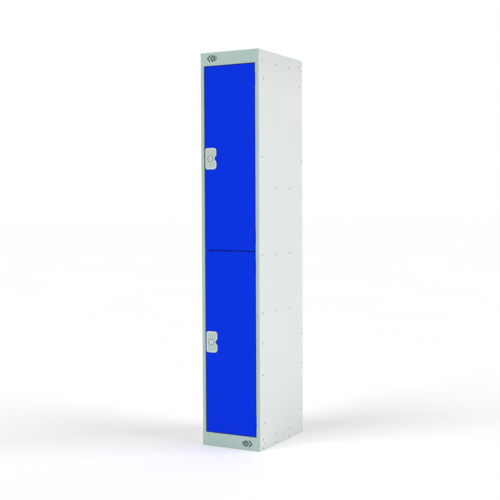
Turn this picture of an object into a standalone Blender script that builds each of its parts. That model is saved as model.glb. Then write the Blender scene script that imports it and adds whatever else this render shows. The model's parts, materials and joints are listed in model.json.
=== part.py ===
"""A two-tier steel school locker: a riveted sheet carcass with two hinged doors and two cam locks.

Units are metres. The origin is on the floor under the middle of the carcass. +X is the hinge side,
-Y is the front and +Z is up. Each moving piece hangs from an empty that lies on its joint's axis.
"""

import math

import bmesh
import bpy
from mathutils import Matrix, Vector

# Driving dimensions of the carcass
WIDTH = 0.300
DEPTH = 0.450
HEIGHT = 1.800
SHEET = 0.001
GAP = 0.0003
RIVET_HEAD_HEIGHT = 0.0008
STILE = 0.018
TOP_RAIL = 0.060
BOTTOM_RAIL = 0.062
FOLD_RADIUS = 0.0015
FOLD_STEPS = 3
CUT_OVERSHOOT = 0.005
DRILL_DEPTH = 0.010
SMALL_HOLE_SEGMENTS = 12
SPRING_BACK = 0.0005

# Driving dimensions of the doors
DOOR_THICKNESS = 0.018
DOOR_END_GAP = 0.0032
MIDDLE_GAP = 0.0045
LOCK_SIDE_GAP = 0.0040
HINGE_SIDE_GAP = 0.003
DOOR_LIP = 0.012
DOOR_EDGE_RADIUS = 0.0012
STOP_CLEARANCE = 0.0035
SIDE_STOP = 0.012
RAIL_STOP = 0.008

# Driving dimensions of the hinges
HINGE_LENGTH = 0.052
HINGE_INSET = 0.068
KNUCKLE_RADIUS = 0.0025
KNUCKLE_BORE = 0.0016
PIN_RADIUS = 0.0013
PIN_HEAD_RADIUS = 0.0022
FRAME_KNUCKLE = 0.009
LEAF_THICKNESS = 0.0009
LEAF_REACH = 0.0160
NECK_INSET = 0.0001
PIN_DOME = 0.0012
PIN_CHAMFER = 0.0005
PIN_TAIL = 0.0008
NOTCH_ROOM = 0.003
NOTCH_DEPTH = 0.0031
FRAME_NOTCH = 0.0017
DOOR_NOTCH = 0.0016

# Driving dimensions of the locks
LOCK_INSET = 0.0285
PLATE_WIDTH = 0.0570
PLATE_HEIGHT = 0.0965
PLATE_EDGE_INSET = 0.0037
PLATE_THICKNESS = 0.0032
PLATE_RIM = 0.0075
PLATE_FIELD_DEPTH = 0.0012
DISH_FLOOR = 0.0010
PLATE_CORNER = 0.0100
PLATE_CORNER_SHRINK = 0.45
PLATE_RIGHT_SHRINK = 0.7
PLATE_RIGHT_CORNER = 1.40
PLATE_NOTCH_HALF = 0.0155
PLATE_NOTCH_GROWTH = 0.15
PLATE_NOTCH_DEPTH = 0.0122
PLATE_NOTCH_SHOULDER = 0.0065
PLATE_NOTCH_TIP = 0.0035
PLATE_EDGE_ROUND = 0.0009
LOCK_DISH_RADIUS = 0.0140
HOUSING_RADIUS = 0.0092
HOUSING_FLANGE_RADIUS = 0.0105
HOUSING_FLANGE = 0.0016
HOUSING_CHAMFER = 0.0006
HOUSING_TAIL = 0.0030
NUT_RADIUS = 0.0130
NUT_THICKNESS = 0.004
NUT_CHAMFER = 0.0003
PLUG_RADIUS = 0.0063
PLUG_SUNK = 0.0001
PLUG_CHAMFER = 0.0008
PLUG_TAIL_RADIUS = 0.0032
PLUG_SHOULDER = 0.0040
KEYWAY_HALF_WIDTH = 0.0016
KEYWAY_HALF_HEIGHT = 0.0043
KEYWAY_DEPTH = 0.007
CAM_REACH = 0.027
CAM_WIDTH = 0.017
CAM_THICKNESS = 0.002
CAM_CLEARANCE = 0.0015
SCREW_HOLE = 0.0018
SCREW_LENGTH = 0.006
SCREW_HEAD_RADIUS = 0.0048
SCREW_HEAD_HEIGHT = 0.0021
SCREW_HEAD_EDGE = 0.0012
SCREW_HEAD_CHAMFER = 0.0008
SCREW_SLOT_FLOOR = 0.0011
SCREW_SLOT_HALF_WIDTH = 0.0005

# Places worked out from the driving dimensions
FRONT = -DEPTH / 2
BACK = DEPTH / 2
PANEL_OUTSIDE = WIDTH / 2 - RIVET_HEAD_HEIGHT
PANEL_INSIDE = PANEL_OUTSIDE - SHEET
LINER = PANEL_INSIDE - GAP
SHELF_HALF = LINER - SHEET - GAP
OPENING_HALF = WIDTH / 2 - STILE
OPENING_LOW = BOTTOM_RAIL
OPENING_HIGH = HEIGHT - TOP_RAIL
FRAME_RETURN = 0.045
FRAME_BACK = FRONT + FRAME_RETURN
DOOR_BACK = FRONT + DOOR_THICKNESS
STOP_FACE = DOOR_BACK + STOP_CLEARANCE
STOP_BACK = STOP_FACE + SHEET
DOOR_LEFT = -OPENING_HALF + LOCK_SIDE_GAP
DOOR_RIGHT = OPENING_HALF - HINGE_SIDE_GAP
DOOR_HEIGHT = (OPENING_HIGH - OPENING_LOW - 2 * DOOR_END_GAP - MIDDLE_GAP) / 2
HINGE_X = (DOOR_RIGHT + OPENING_HALF) / 2
HINGE_Y = FRONT + 0.0015
LOCK_X = DOOR_LEFT + LOCK_INSET
DOOR_BOTTOMS = {
    "upper": OPENING_HIGH - DOOR_END_GAP - DOOR_HEIGHT,
    "lower": OPENING_LOW + DOOR_END_GAP,
}

# The compartments' furniture and the fixings
SHELF_TOP = HEIGHT / 2
SHELF_FLANGE = 0.025
RIVET_DROP = 0.017
RIVET_RADIUS = 0.0032
RIVET_SHANK = 0.0016
RIVET_HOLE = 0.0020
RIVET_TAIL_LENGTH = 0.0022
RIVET_TAIL_SWELL = 0.0010
RIVET_TAIL_SHOULDER = 0.0006
SHELF_RIVET_PLACES = {"front": -0.191, "middle": -0.057, "back": 0.078}
NEST_HOLE_RADIUS = 0.0034
NEST_HOLE_FRONT = -0.176
NEST_HOLE_BACK = 0.1935
NEST_HOLE_LEVELS = (0.030, 0.120, 1.671, 1.766)
BASE_LIP = 0.020
BACK_FLANGE = 0.018
HOOK_Y = 0.020
HOOK_WIDTH = 0.015
HOOK_STRIP = 0.002
HOOK_BRIDGE = 0.018
HOOK_DROP = 0.045
HOOK_BEND = 0.010
HOOK_TIP = 0.012
HOOK_RIVET_SPREAD = 0.009
HOOK_RIVET_EDGE = 0.0010
HOOK_RIVET_HEAD = 0.0014
HOOK_BEND_STEPS = 6
BUFFER_X = -OPENING_HALF + 0.007
BUFFER_INSET = 0.115
BUFFER_HOLE = 0.0027
BUFFER_RADIUS = 0.0045
BUFFER_NOSE_RADIUS = 0.0034
BUFFER_NOSE_ROUND = 0.0005
BUFFER_DOOR_GAP = 0.0004
BUFFER_BARB = 0.0032
BUFFER_BARB_TIP = 0.0019
STIFFENER_CROWN_HALF = 0.028
STIFFENER_FOOT_HALF = 0.045

# The vents in the two rails
VENT_HEIGHT = 0.030
VENT_ARM = 0.014
VENT_SLOT = 0.0052
VENT_PITCH = 0.0158
VENT_HOLE_RADIUS = 0.0035
VENT_HOLE_PITCH = 0.0086
VENT_ROSE_GAP = 0.2
VENT_CUT = 0.006
TOP_VENT = (-0.115, HEIGHT - 0.028)
BOTTOM_VENT = (0.111, 0.030)

# Finishes: base colour, roughness, metallic
FINISHES = {
    "frame_paint": ((0.46, 0.57, 0.53, 1), 0.45, 0.0),
    "panel_paint": ((0.72, 0.76, 0.75, 1), 0.45, 0.0),
    "door_paint": ((0.01, 0.04, 0.62, 1), 0.40, 0.0),
    "lock_plate": ((0.48, 0.60, 0.55, 1), 0.50, 0.0),
    "bright_steel": ((0.78, 0.78, 0.77, 1), 0.25, 1.0),
    "zinc_steel": ((0.55, 0.56, 0.57, 1), 0.40, 1.0),
    "rubber": ((0.03, 0.03, 0.03, 1), 0.80, 0.0),
}


def clear_scene():
    for old in list(bpy.data.objects):
        bpy.data.objects.remove(old)


def make_collection(name):
    collection = bpy.data.collections.new(name)
    bpy.context.scene.collection.children.link(collection)
    return collection


def make_material(node, finish):
    """A material of the node's own, with the finish's colour, roughness and metallic value."""
    colour, roughness, metallic = FINISHES[finish]
    material = bpy.data.materials.new(f"{node}_{finish}")
    material.use_nodes = True
    shader = material.node_tree.nodes["Principled BSDF"]
    shader.inputs["Base Color"].default_value = colour
    shader.inputs["Roughness"].default_value = roughness
    shader.inputs["Metallic"].default_value = metallic
    return material


def make_object(name, mesh, location=(0, 0, 0)):
    """An object with the mesh, not yet in the locker's or the cutters' collection."""
    thing = bpy.data.objects.new(name, mesh)
    thing.location = location
    return thing


def finish_part(thing, finish, axis=None):
    """Puts a finished piece in the locker's collection, with its material and its joint's empty."""
    parts.objects.link(thing)
    thing.data.materials.append(make_material(thing.name, finish))
    if axis is not None:
        thing.parent = axis
        thing.matrix_parent_inverse = Matrix.Translation(-axis_places[axis.name])
    return thing


def add_axis(name, place, parent=None):
    """An empty on a joint's axis."""
    empty = bpy.data.objects.new(name, None)
    empty.empty_display_size = 0.03
    empty.location = place
    parts.objects.link(empty)
    axis_places[name] = Vector(place)
    if parent is not None:
        empty.parent = parent
        empty.matrix_parent_inverse = Matrix.Translation(-axis_places[parent.name])
    return empty


def box(name, low, high):
    """A box between two corners, with its origin at its centre."""
    low = Vector(low)
    high = Vector(high)
    shape = bmesh.new()
    bmesh.ops.create_cube(shape, size=1.0)
    bmesh.ops.scale(shape, vec=high - low, verts=shape.verts)
    mesh = bpy.data.meshes.new(name)
    shape.to_mesh(mesh)
    shape.free()
    return make_object(name, mesh, (low + high) / 2)


def round_bar(name, radius, start, length, direction, segments=32):
    """A cylinder, or a prism of few segments, from a start point along X, Y or Z."""
    turn = {
        "X": Matrix.Rotation(math.radians(90), 4, "Y"),
        "Y": Matrix.Rotation(math.radians(-90), 4, "X"),
        "Z": Matrix.Identity(4),
    }[direction]
    shape = bmesh.new()
    bmesh.ops.create_cone(
        shape, cap_ends=True, segments=segments, radius1=radius, radius2=radius, depth=length,
    )
    bmesh.ops.translate(shape, vec=(0, 0, length / 2), verts=shape.verts)
    bmesh.ops.transform(shape, matrix=turn, verts=shape.verts)
    mesh = bpy.data.meshes.new(name)
    shape.to_mesh(mesh)
    shape.free()
    shade_round(mesh)
    return make_object(name, mesh, start)


def shade_round(mesh):
    mesh.shade_smooth()
    mesh.set_sharp_from_angle(angle=math.radians(35))


def turned(name, profile, place, turn, steps=32):
    """A turned piece: its profile is (radius, height) pairs from the top down, turned about its own Z."""
    mesh = bpy.data.meshes.new(name)
    edges = [(at, at + 1) for at in range(len(profile) - 1)]
    mesh.from_pydata([(radius, 0, height) for radius, height in profile], edges, [])
    thing = make_object(name, mesh, place)
    thing.rotation_euler = turn
    screw = thing.modifiers.new("turning", "SCREW")
    screw.axis = "Z"
    screw.steps = steps
    screw.render_steps = steps
    screw.use_merge_vertices = True
    screw.merge_threshold = 0.00001
    screw.use_smooth_shade = True
    return thing


def bend(path, radius):
    """The path's points, with each corner between two straight runs replaced by an arc."""
    points = [Vector(path[0])]
    for before, corner, after in zip(path, path[1:], path[2:]):
        points.extend(corner_arc(Vector(before), Vector(corner), Vector(after), radius))
    points.append(Vector(path[-1]))
    return points


def corner_arc(before, corner, after, radius):
    """The points of the arc that rounds one corner of a flat path."""
    to_before = (before - corner).normalized()
    to_after = (after - corner).normalized()
    half = to_before.angle(to_after) / 2
    centre = corner + (to_before + to_after).normalized() * radius / math.sin(half)
    reach = radius / math.tan(half)
    first = corner + to_before * reach - centre
    last = corner + to_after * reach - centre
    return [centre + first.slerp(last, step / FOLD_STEPS) * radius for step in range(FOLD_STEPS + 1)]


def folded(name, path, start, end, along, thickness=SHEET, radius=FOLD_RADIUS):
    """A folded sheet: an open outline drawn out along X, Y or Z, with its thickness on the inner side.

    The path's pairs are (y, z), (x, z) or (x, y), for a sheet drawn out along X, Y or Z.
    """
    place = {
        "X": lambda at, run: (run, at[0], at[1]),
        "Y": lambda at, run: (at[0], run, at[1]),
        "Z": lambda at, run: (at[0], at[1], run),
    }[along]
    outline = bend([(*point, 0) for point in path], radius)
    shape = bmesh.new()
    near = [shape.verts.new(place(point, start)) for point in outline]
    far = [shape.verts.new(place(point, end)) for point in outline]
    for at in range(len(outline) - 1):
        shape.faces.new((near[at], near[at + 1], far[at + 1], far[at]))
    mesh = bpy.data.meshes.new(name)
    shape.to_mesh(mesh)
    shape.free()
    thing = make_object(name, mesh)
    thicken(thing, thickness)
    return thing


def thicken(thing, thickness):
    solid = thing.modifiers.new("sheet", "SOLIDIFY")
    solid.thickness = thickness
    solid.offset = -1
    solid.use_even_offset = True


def soften(thing, width, segments=2):
    """Rounds the edges of a plain block."""
    bevel = thing.modifiers.new("soft_edges", "BEVEL")
    bevel.width = width
    bevel.segments = segments
    bevel.limit_method = "ANGLE"
    bevel.angle_limit = math.radians(50)


def outline_solid(name, outline, thickness, front):
    """A flat piece with an outline in (x, z), from the front plane back by its thickness."""
    curve = bpy.data.curves.new(name, "CURVE")
    curve.dimensions = "2D"
    curve.fill_mode = "BOTH"
    curve.extrude = thickness / 2
    spline = curve.splines.new("POLY")
    spline.points.add(len(outline) - 1)
    for point, (x, z) in zip(spline.points, outline):
        point.co = (x, z, 0, 1)
    spline.use_cyclic_u = True
    drawn = bpy.data.objects.new(name, curve)
    drawn.rotation_euler = (math.radians(90), 0, 0)
    drawn.location = (0, front + thickness / 2, 0)
    bpy.context.scene.collection.objects.link(drawn)
    bpy.context.view_layer.update()
    graph = bpy.context.evaluated_depsgraph_get()
    mesh = bpy.data.meshes.new_from_object(drawn.evaluated_get(graph))
    shape = bmesh.new()
    shape.from_mesh(mesh)
    bmesh.ops.remove_doubles(shape, verts=shape.verts, dist=0.00001)
    bmesh.ops.dissolve_limit(
        shape, angle_limit=math.radians(0.1), verts=shape.verts, edges=shape.edges
    )
    shape.to_mesh(mesh)
    shape.free()
    solid = bpy.data.objects.new(name, mesh)
    solid.matrix_world = drawn.matrix_world.copy()
    bpy.data.objects.remove(drawn)
    solid.name = name
    return solid


def rounded_outline(corners):
    """A closed outline from (x, z, radius) corners, each rounded by an arc of its own radius."""
    points = []
    for at, (x, z, radius) in enumerate(corners):
        before = corners[at - 1]
        after = corners[(at + 1) % len(corners)]
        arc = corner_arc(
            Vector((before[0], before[1], 0)), Vector((x, z, 0)), Vector((after[0], after[1], 0)), radius
        )
        points.extend((point.x, point.y) for point in arc)
    return points


def hide_tool(tool):
    """Keeps a cutter or a shape to be joined out of the model itself."""
    cutters.objects.link(tool)
    tool.hide_render = True
    tool.display_type = "WIRE"


def cut(thing, cutter, operation="DIFFERENCE"):
    """Takes the cutter away from the piece, or joins it with operation UNION."""
    hide_tool(cutter)
    boolean = thing.modifiers.new(cutter.name, "BOOLEAN")
    boolean.operation = operation
    boolean.object = cutter
    boolean.solver = "EXACT"


def drill(thing, name, radius, centre, depth, direction, segments=24):
    """A round hole through the piece, centred on a point and running along X, Y or Z."""
    step = {"X": Vector((1, 0, 0)), "Y": Vector((0, 1, 0)), "Z": Vector((0, 0, 1))}[direction]
    start = Vector(centre) - step * depth / 2
    cut(thing, round_bar(name, radius, start, depth, direction, segments))


def drill_small(thing, name, radius, centre, direction, depth=DRILL_DEPTH):
    """A small round hole, such as a rivet's."""
    drill(thing, name, radius, centre, depth, direction, SMALL_HOLE_SEGMENTS)


def frame_rings():
    """The front frame's section, as rings of (half width, low z, high z, y) from the side returns
    round the front face and the opening's edge to the door stop."""
    radius = FOLD_RADIUS
    turns = [math.radians(90) * step / FOLD_STEPS for step in range(FOLD_STEPS + 1)]
    outside = (LINER, 0, HEIGHT)
    opening = (OPENING_HALF, OPENING_LOW, OPENING_HIGH)
    rings = [(*outside, FRAME_BACK)]
    for turn in turns:
        inset = radius * (1 - math.cos(turn))
        rings.append(inset_ring(outside, inset, FRONT + radius * (1 - math.sin(turn))))
    for turn in turns:
        inset = -radius * (1 - math.sin(turn))
        rings.append(inset_ring(opening, inset, FRONT + radius * (1 - math.cos(turn))))
    for turn in turns:
        inset = radius * (1 - math.cos(turn))
        rings.append(inset_ring(opening, inset, STOP_FACE - radius * (1 - math.sin(turn))))
    rings.append(
        (OPENING_HALF - SIDE_STOP, OPENING_LOW + RAIL_STOP, OPENING_HIGH - RAIL_STOP, STOP_FACE)
    )
    return rings


def inset_ring(ring, inset, y):
    half, low, high = ring
    return (half - inset, low + inset, high - inset, y)


def make_front_frame():
    """The welded frame, folded from one section that runs round the opening with mitred corners."""
    shape = bmesh.new()
    loops = []
    for half, low, high, y in frame_rings():
        corners = ((-half, low), (half, low), (half, high), (-half, high))
        loops.append([shape.verts.new((x, y, z)) for x, z in corners])
    for outer, inner in zip(loops, loops[1:]):
        for at in range(4):
            after = (at + 1) % 4
            shape.faces.new((outer[at], outer[after], inner[after], inner[at]))
    mesh = bpy.data.meshes.new("front_frame")
    shape.to_mesh(mesh)
    shape.free()
    frame = make_object("front_frame", mesh)
    thicken(frame, SHEET)
    cut_vents(frame, "top_vent", *TOP_VENT, side=-1)
    cut_vents(frame, "bottom_vent", *BOTTOM_VENT, side=1)
    for tier in DOOR_BOTTOMS:
        for level, z in hinge_levels(tier).items():
            name = f"frame_notch_{tier}_{level}"
            cut(frame, hinge_notch(name, z, HINGE_X, OPENING_HALF + FRAME_NOTCH))
        for level, z in buffer_levels(tier).items():
            name = f"buffer_hole_{tier}_{level}"
            drill_small(frame, name, BUFFER_HOLE, (BUFFER_X, STOP_FACE, z), "Y")
    for side, sign in (("left", -1), ("right", 1)):
        place = (sign * LINER, SHELF_RIVET_PLACES["front"], SHELF_TOP - RIVET_DROP)
        drill_small(frame, f"frame_rivet_hole_{side}", RIVET_HOLE, place, "X")
    return finish_part(frame, "frame_paint")


def cut_vents(frame, name, tip_x, z, side):
    """Two chevron slots whose tips point to one side, then seven small round holes."""
    for number in range(2):
        x = tip_x - side * VENT_PITCH * number
        outline = chevron(x, z, side)
        cut(frame, outline_solid(f"{name}_slot_{number}", outline, VENT_CUT, FRONT - VENT_CUT / 2))
    centre_x = tip_x - side * (2 * VENT_PITCH + VENT_ARM / 2 + VENT_HOLE_PITCH * VENT_ROSE_GAP)
    drill_small(frame, f"{name}_hole_0", VENT_HOLE_RADIUS, (centre_x, FRONT, z), "Y", VENT_CUT)
    for number in range(6):
        angle = math.radians(60 * number + 30)
        x = centre_x + VENT_HOLE_PITCH * math.cos(angle)
        hole_z = z + VENT_HOLE_PITCH * math.sin(angle)
        hole = f"{name}_hole_{number + 1}"
        drill_small(frame, hole, VENT_HOLE_RADIUS, (x, FRONT, hole_z), "Y", VENT_CUT)


def chevron(tip_x, z, side):
    """The outline of one chevron slot, as (x, z) points."""
    half = VENT_HEIGHT / 2
    arm_x = tip_x - side * VENT_ARM
    wide = -side * VENT_SLOT * math.hypot(half, VENT_ARM) / half
    return [
        (tip_x, z),
        (arm_x, z + half),
        (arm_x + wide, z + half),
        (tip_x + wide, z),
        (arm_x + wide, z - half),
        (arm_x, z - half),
    ]


def hinge_levels(tier):
    """The height of the middle of each of a door's hinges."""
    bottom = DOOR_BOTTOMS[tier]
    return {"top": bottom + DOOR_HEIGHT - HINGE_INSET, "bottom": bottom + HINGE_INSET}


def buffer_levels(tier):
    bottom = DOOR_BOTTOMS[tier]
    return {"top": bottom + DOOR_HEIGHT - BUFFER_INSET, "bottom": bottom + BUFFER_INSET}


def hinge_notch(name, z, low_x, high_x):
    """The space for a hinge's barrel, cut from a sheet edge beside it."""
    half = HINGE_LENGTH / 2 + NOTCH_ROOM
    back_y = HINGE_Y + NOTCH_DEPTH
    return box(name, (low_x, FRONT - CUT_OVERSHOOT, z - half), (high_x, back_y, z + half))


def make_side_panels():
    """The two outer sheets, with nesting holes and the shelf rivets' holes."""
    for side, sign in (("left", -1), ("right", 1)):
        edges = sorted((sign * PANEL_INSIDE, sign * PANEL_OUTSIDE))
        panel = box(
            f"side_panel_{side}", (edges[0], FRONT + FOLD_RADIUS, 0), (edges[1], BACK, HEIGHT)
        )
        for level, z in enumerate(NEST_HOLE_LEVELS):
            for end, y in (("front", NEST_HOLE_FRONT), ("back", NEST_HOLE_BACK)):
                name = f"nest_hole_{side}_{end}_{level}"
                centre = (sign * PANEL_INSIDE, y, z)
                drill(panel, name, NEST_HOLE_RADIUS, centre, DRILL_DEPTH, "X", 16)
        for place, y in SHELF_RIVET_PLACES.items():
            name = f"panel_rivet_hole_{side}_{place}"
            centre = (sign * PANEL_INSIDE, y, SHELF_TOP - RIVET_DROP)
            drill_small(panel, name, RIVET_HOLE, centre, "X")
        finish_part(panel, "panel_paint")


def make_back_panel():
    """The back sheet, with flanges folded forward inside the side panels."""
    path = [
        (LINER, BACK - BACK_FLANGE),
        (LINER, BACK),
        (-LINER, BACK),
        (-LINER, BACK - BACK_FLANGE),
    ]
    back = folded("back_panel", path, BOTTOM_RAIL + GAP, OPENING_HIGH - GAP, "Z")
    return finish_part(back, "panel_paint")


def make_roof_panel():
    """The roof tray: a top sheet with flanges down its sides and back."""
    roof = box("roof_panel", (-LINER, FRAME_BACK + GAP, OPENING_HIGH), (LINER, BACK, HEIGHT))
    soften(roof, DOOR_EDGE_RADIUS)
    inside = box(
        "roof_inside",
        (-LINER + SHEET, FRAME_BACK - CUT_OVERSHOOT, OPENING_HIGH - CUT_OVERSHOOT),
        (LINER - SHEET, BACK - SHEET, HEIGHT - SHEET),
    )
    cut(roof, inside)
    drill_nest_holes(roof, "roof", NEST_HOLE_LEVELS[3])
    drill_hook_holes(roof, "upper", HEIGHT - SHEET)
    return finish_part(roof, "panel_paint")


def drill_nest_holes(thing, name, z):
    """The nesting holes in both side flanges of a tray, where they lie behind the panels' holes."""
    drill(thing, f"{name}_nest_hole", NEST_HOLE_RADIUS, (0, NEST_HOLE_BACK, z), WIDTH, "X", 16)


def drill_hook_holes(thing, tier, ceiling):
    for number, sign in enumerate((-1, 1)):
        place = (sign * HOOK_RIVET_SPREAD, HOOK_Y, ceiling)
        drill_small(thing, f"{tier}_ceiling_hole_{number}", RIVET_HOLE, place, "Z")


def make_base_panel():
    """The base tray: the lower compartment's floor, with deep flanges and lips on the ground.

    Its floor runs forward to the stop lip as a plain tongue, inside the frame's side returns.
    """
    front_y = STOP_BACK + GAP
    base = box("base_panel", (-LINER, front_y, 0), (LINER, BACK, BOTTOM_RAIL))
    soften(base, DOOR_EDGE_RADIUS)
    inside = box(
        "base_inside",
        (-LINER + SHEET, front_y - CUT_OVERSHOOT, SHEET),
        (LINER - SHEET, BACK - SHEET, BOTTOM_RAIL - SHEET),
    )
    cut(base, inside)
    ground = box(
        "base_ground_opening",
        (-LINER + BASE_LIP, front_y - CUT_OVERSHOOT, -CUT_OVERSHOOT),
        (LINER - BASE_LIP, BACK - BASE_LIP, BOTTOM_RAIL / 2),
    )
    cut(base, ground)
    relief_y = (front_y - CUT_OVERSHOOT, FRAME_BACK + GAP)
    relief_high = BOTTOM_RAIL / 2
    relief = box(
        "base_relief_low",
        (-WIDTH, relief_y[0], -CUT_OVERSHOOT),
        (WIDTH, relief_y[1], relief_high),
    )
    cut(base, relief)
    for side, sign in (("left", -1), ("right", 1)):
        low_x, high_x = sorted((sign * SHELF_HALF, sign * WIDTH))
        relief = box(
            f"base_relief_{side}",
            (low_x, relief_y[0], -2 * CUT_OVERSHOOT),
            (high_x, relief_y[1], BOTTOM_RAIL + CUT_OVERSHOOT),
        )
        cut(base, relief)
    drill_nest_holes(base, "base", NEST_HOLE_LEVELS[0])
    return finish_part(base, "panel_paint")


def make_divider_shelf():
    """The shelf between the compartments: a tray with flanges turned down all round."""
    low_z = SHELF_TOP - SHELF_FLANGE
    front_y = STOP_BACK + GAP
    back_y = BACK - SHEET - SPRING_BACK
    shelf = box("divider_shelf", (-SHELF_HALF, front_y, low_z), (SHELF_HALF, back_y, SHELF_TOP))
    soften(shelf, DOOR_EDGE_RADIUS)
    inside = box(
        "shelf_inside",
        (-SHELF_HALF + SHEET, front_y + SHEET, low_z - CUT_OVERSHOOT),
        (SHELF_HALF - SHEET, back_y - SHEET, SHELF_TOP - SHEET),
    )
    cut(shelf, inside)
    for place, y in SHELF_RIVET_PLACES.items():
        centre = (0, y, SHELF_TOP - RIVET_DROP)
        drill_small(shelf, f"shelf_rivet_hole_{place}", RIVET_HOLE, centre, "X", WIDTH)
    drill_hook_holes(shelf, "lower", SHELF_TOP - SHEET)
    return finish_part(shelf, "panel_paint")


def make_shelf_rivets():
    """The rivets that hold the shelf, with a domed head outside and a swelled tail inside."""
    top = WIDTH / 2 - PANEL_OUTSIDE
    tail_top = SHELF_HALF - SHEET - GAP - PANEL_OUTSIDE
    tail = tail_top - RIVET_TAIL_LENGTH
    profile = [
        (0, top),
        (RIVET_RADIUS * 0.55, top * 0.92),
        (RIVET_RADIUS * 0.88, top * 0.62),
        (RIVET_RADIUS, GAP),
        (RIVET_SHANK, GAP),
        (RIVET_SHANK, tail_top),
        (RIVET_SHANK + RIVET_TAIL_SWELL, tail_top - RIVET_TAIL_SHOULDER),
        (RIVET_SHANK * 0.6, tail),
        (0, tail),
    ]
    for side, sign in (("left", -1), ("right", 1)):
        for place, y in SHELF_RIVET_PLACES.items():
            centre = (sign * PANEL_OUTSIDE, y, SHELF_TOP - RIVET_DROP)
            turn = (0, sign * math.radians(90), 0)
            rivet = turned(f"shelf_rivet_{side}_{place}", profile, centre, turn, 12)
            finish_part(rivet, "zinc_steel")


def make_coat_hook(tier, ceiling):
    """A double hook of folded strip under a compartment's ceiling, and its two rivets."""
    top = ceiling - GAP
    elbow = top - HOOK_DROP
    far = HOOK_BRIDGE + 2 * HOOK_BEND
    half_path = [(far, elbow + HOOK_TIP)]
    for step in range(HOOK_BEND_STEPS + 1):
        angle = math.radians(-180 * step / HOOK_BEND_STEPS)
        x = HOOK_BRIDGE + HOOK_BEND + HOOK_BEND * math.cos(angle)
        half_path.append((x, elbow + HOOK_BEND * math.sin(angle)))
    half_path.append((HOOK_BRIDGE, top))
    path = [(-x, z) for x, z in half_path] + half_path[::-1]
    hook = smooth_strip(f"coat_hook_{tier}", path)
    for number, sign in enumerate((-1, 1)):
        place = (sign * HOOK_RIVET_SPREAD, HOOK_Y, top)
        drill_small(hook, f"{tier}_hook_hole_{number}", RIVET_HOLE, place, "Z")
    finish_part(hook, "zinc_steel")
    for side, sign in (("left", -1), ("right", 1)):
        make_hook_rivet(f"hook_rivet_{tier}_{side}", (sign * HOOK_RIVET_SPREAD, HOOK_Y, top))


def smooth_strip(name, path):
    """A strip that follows the path in (x, z), centred on the hooks' place in y."""
    shape = bmesh.new()
    near = [shape.verts.new((x, HOOK_Y - HOOK_WIDTH / 2, z)) for x, z in path]
    far = [shape.verts.new((x, HOOK_Y + HOOK_WIDTH / 2, z)) for x, z in path]
    for at in range(len(path) - 1):
        shape.faces.new((near[at], near[at + 1], far[at + 1], far[at]))
    mesh = bpy.data.meshes.new(name)
    shape.to_mesh(mesh)
    shape.free()
    shade_round(mesh)
    strip = make_object(name, mesh)
    thicken(strip, HOOK_STRIP)
    return strip


def make_hook_rivet(name, place):
    """A rivet through the hook's bridge and the ceiling, with its head below."""
    shank_top = SHEET
    head_top = -HOOK_STRIP - GAP
    profile = [
        (0, shank_top),
        (RIVET_SHANK, shank_top),
        (RIVET_SHANK, head_top),
        (RIVET_RADIUS, head_top),
        (RIVET_RADIUS * 0.75, head_top - HOOK_RIVET_EDGE),
        (0, head_top - HOOK_RIVET_HEAD),
    ]
    finish_part(turned(name, profile, place, (0, 0, 0), 12), "zinc_steel")


def make_door_buffers(tier):
    """The rubber buffers pushed through the stop lip, which the closed door rests on."""
    nose = STOP_FACE - DOOR_BACK - BUFFER_DOOR_GAP
    shank = BUFFER_HOLE - GAP
    barb = -SHEET - GAP
    profile = [
        (0, nose),
        (BUFFER_NOSE_RADIUS, nose - BUFFER_NOSE_ROUND),
        (BUFFER_RADIUS, GAP),
        (shank, GAP),
        (shank, barb),
        (BUFFER_NOSE_RADIUS, barb - GAP),
        (BUFFER_BARB_TIP, barb - BUFFER_BARB + GAP),
        (0, barb - BUFFER_BARB),
    ]
    for level, z in buffer_levels(tier).items():
        place = (BUFFER_X, STOP_FACE, z)
        turn = (math.radians(90), 0, 0)
        finish_part(turned(f"door_buffer_{tier}_{level}", profile, place, turn, 16), "rubber")


def knuckle(name, low, high):
    """One knuckle of a hinge, as a plain round bar that is bored later."""
    return round_bar(name, KNUCKLE_RADIUS, (HINGE_X, HINGE_Y, low), high - low, "Z", 16)


def make_hinge_leaf(name, z, side, spans, finish, axis=None):
    """One leaf of a hinge, joined to its knuckles. side is -1 for the door's leaf, 1 for the frame's."""
    half = HINGE_LENGTH / 2
    near_x = HINGE_X + side * GAP
    far_x = HINGE_X + side * (GAP + LEAF_THICKNESS)
    low_x, high_x = sorted((near_x, far_x))
    neck_y = HINGE_Y + KNUCKLE_RADIUS + GAP
    leaf = box(name, (low_x, neck_y, z - half), (high_x, HINGE_Y + LEAF_REACH, z + half))
    for number, (low, high) in enumerate(spans):
        neck = box(
            f"{name}_neck_{number}",
            (low_x, HINGE_Y + KNUCKLE_BORE + NECK_INSET, low + NECK_INSET),
            (high_x, neck_y + SHEET / 2, high - NECK_INSET),
        )
        cut(leaf, neck, "UNION")
        cut(leaf, knuckle(f"{name}_knuckle_{number}", low, high), "UNION")
    drill(leaf, f"{name}_bore", KNUCKLE_BORE, (HINGE_X, HINGE_Y, z), 2 * HINGE_LENGTH, "Z", 16)
    return finish_part(leaf, finish, axis)


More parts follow.
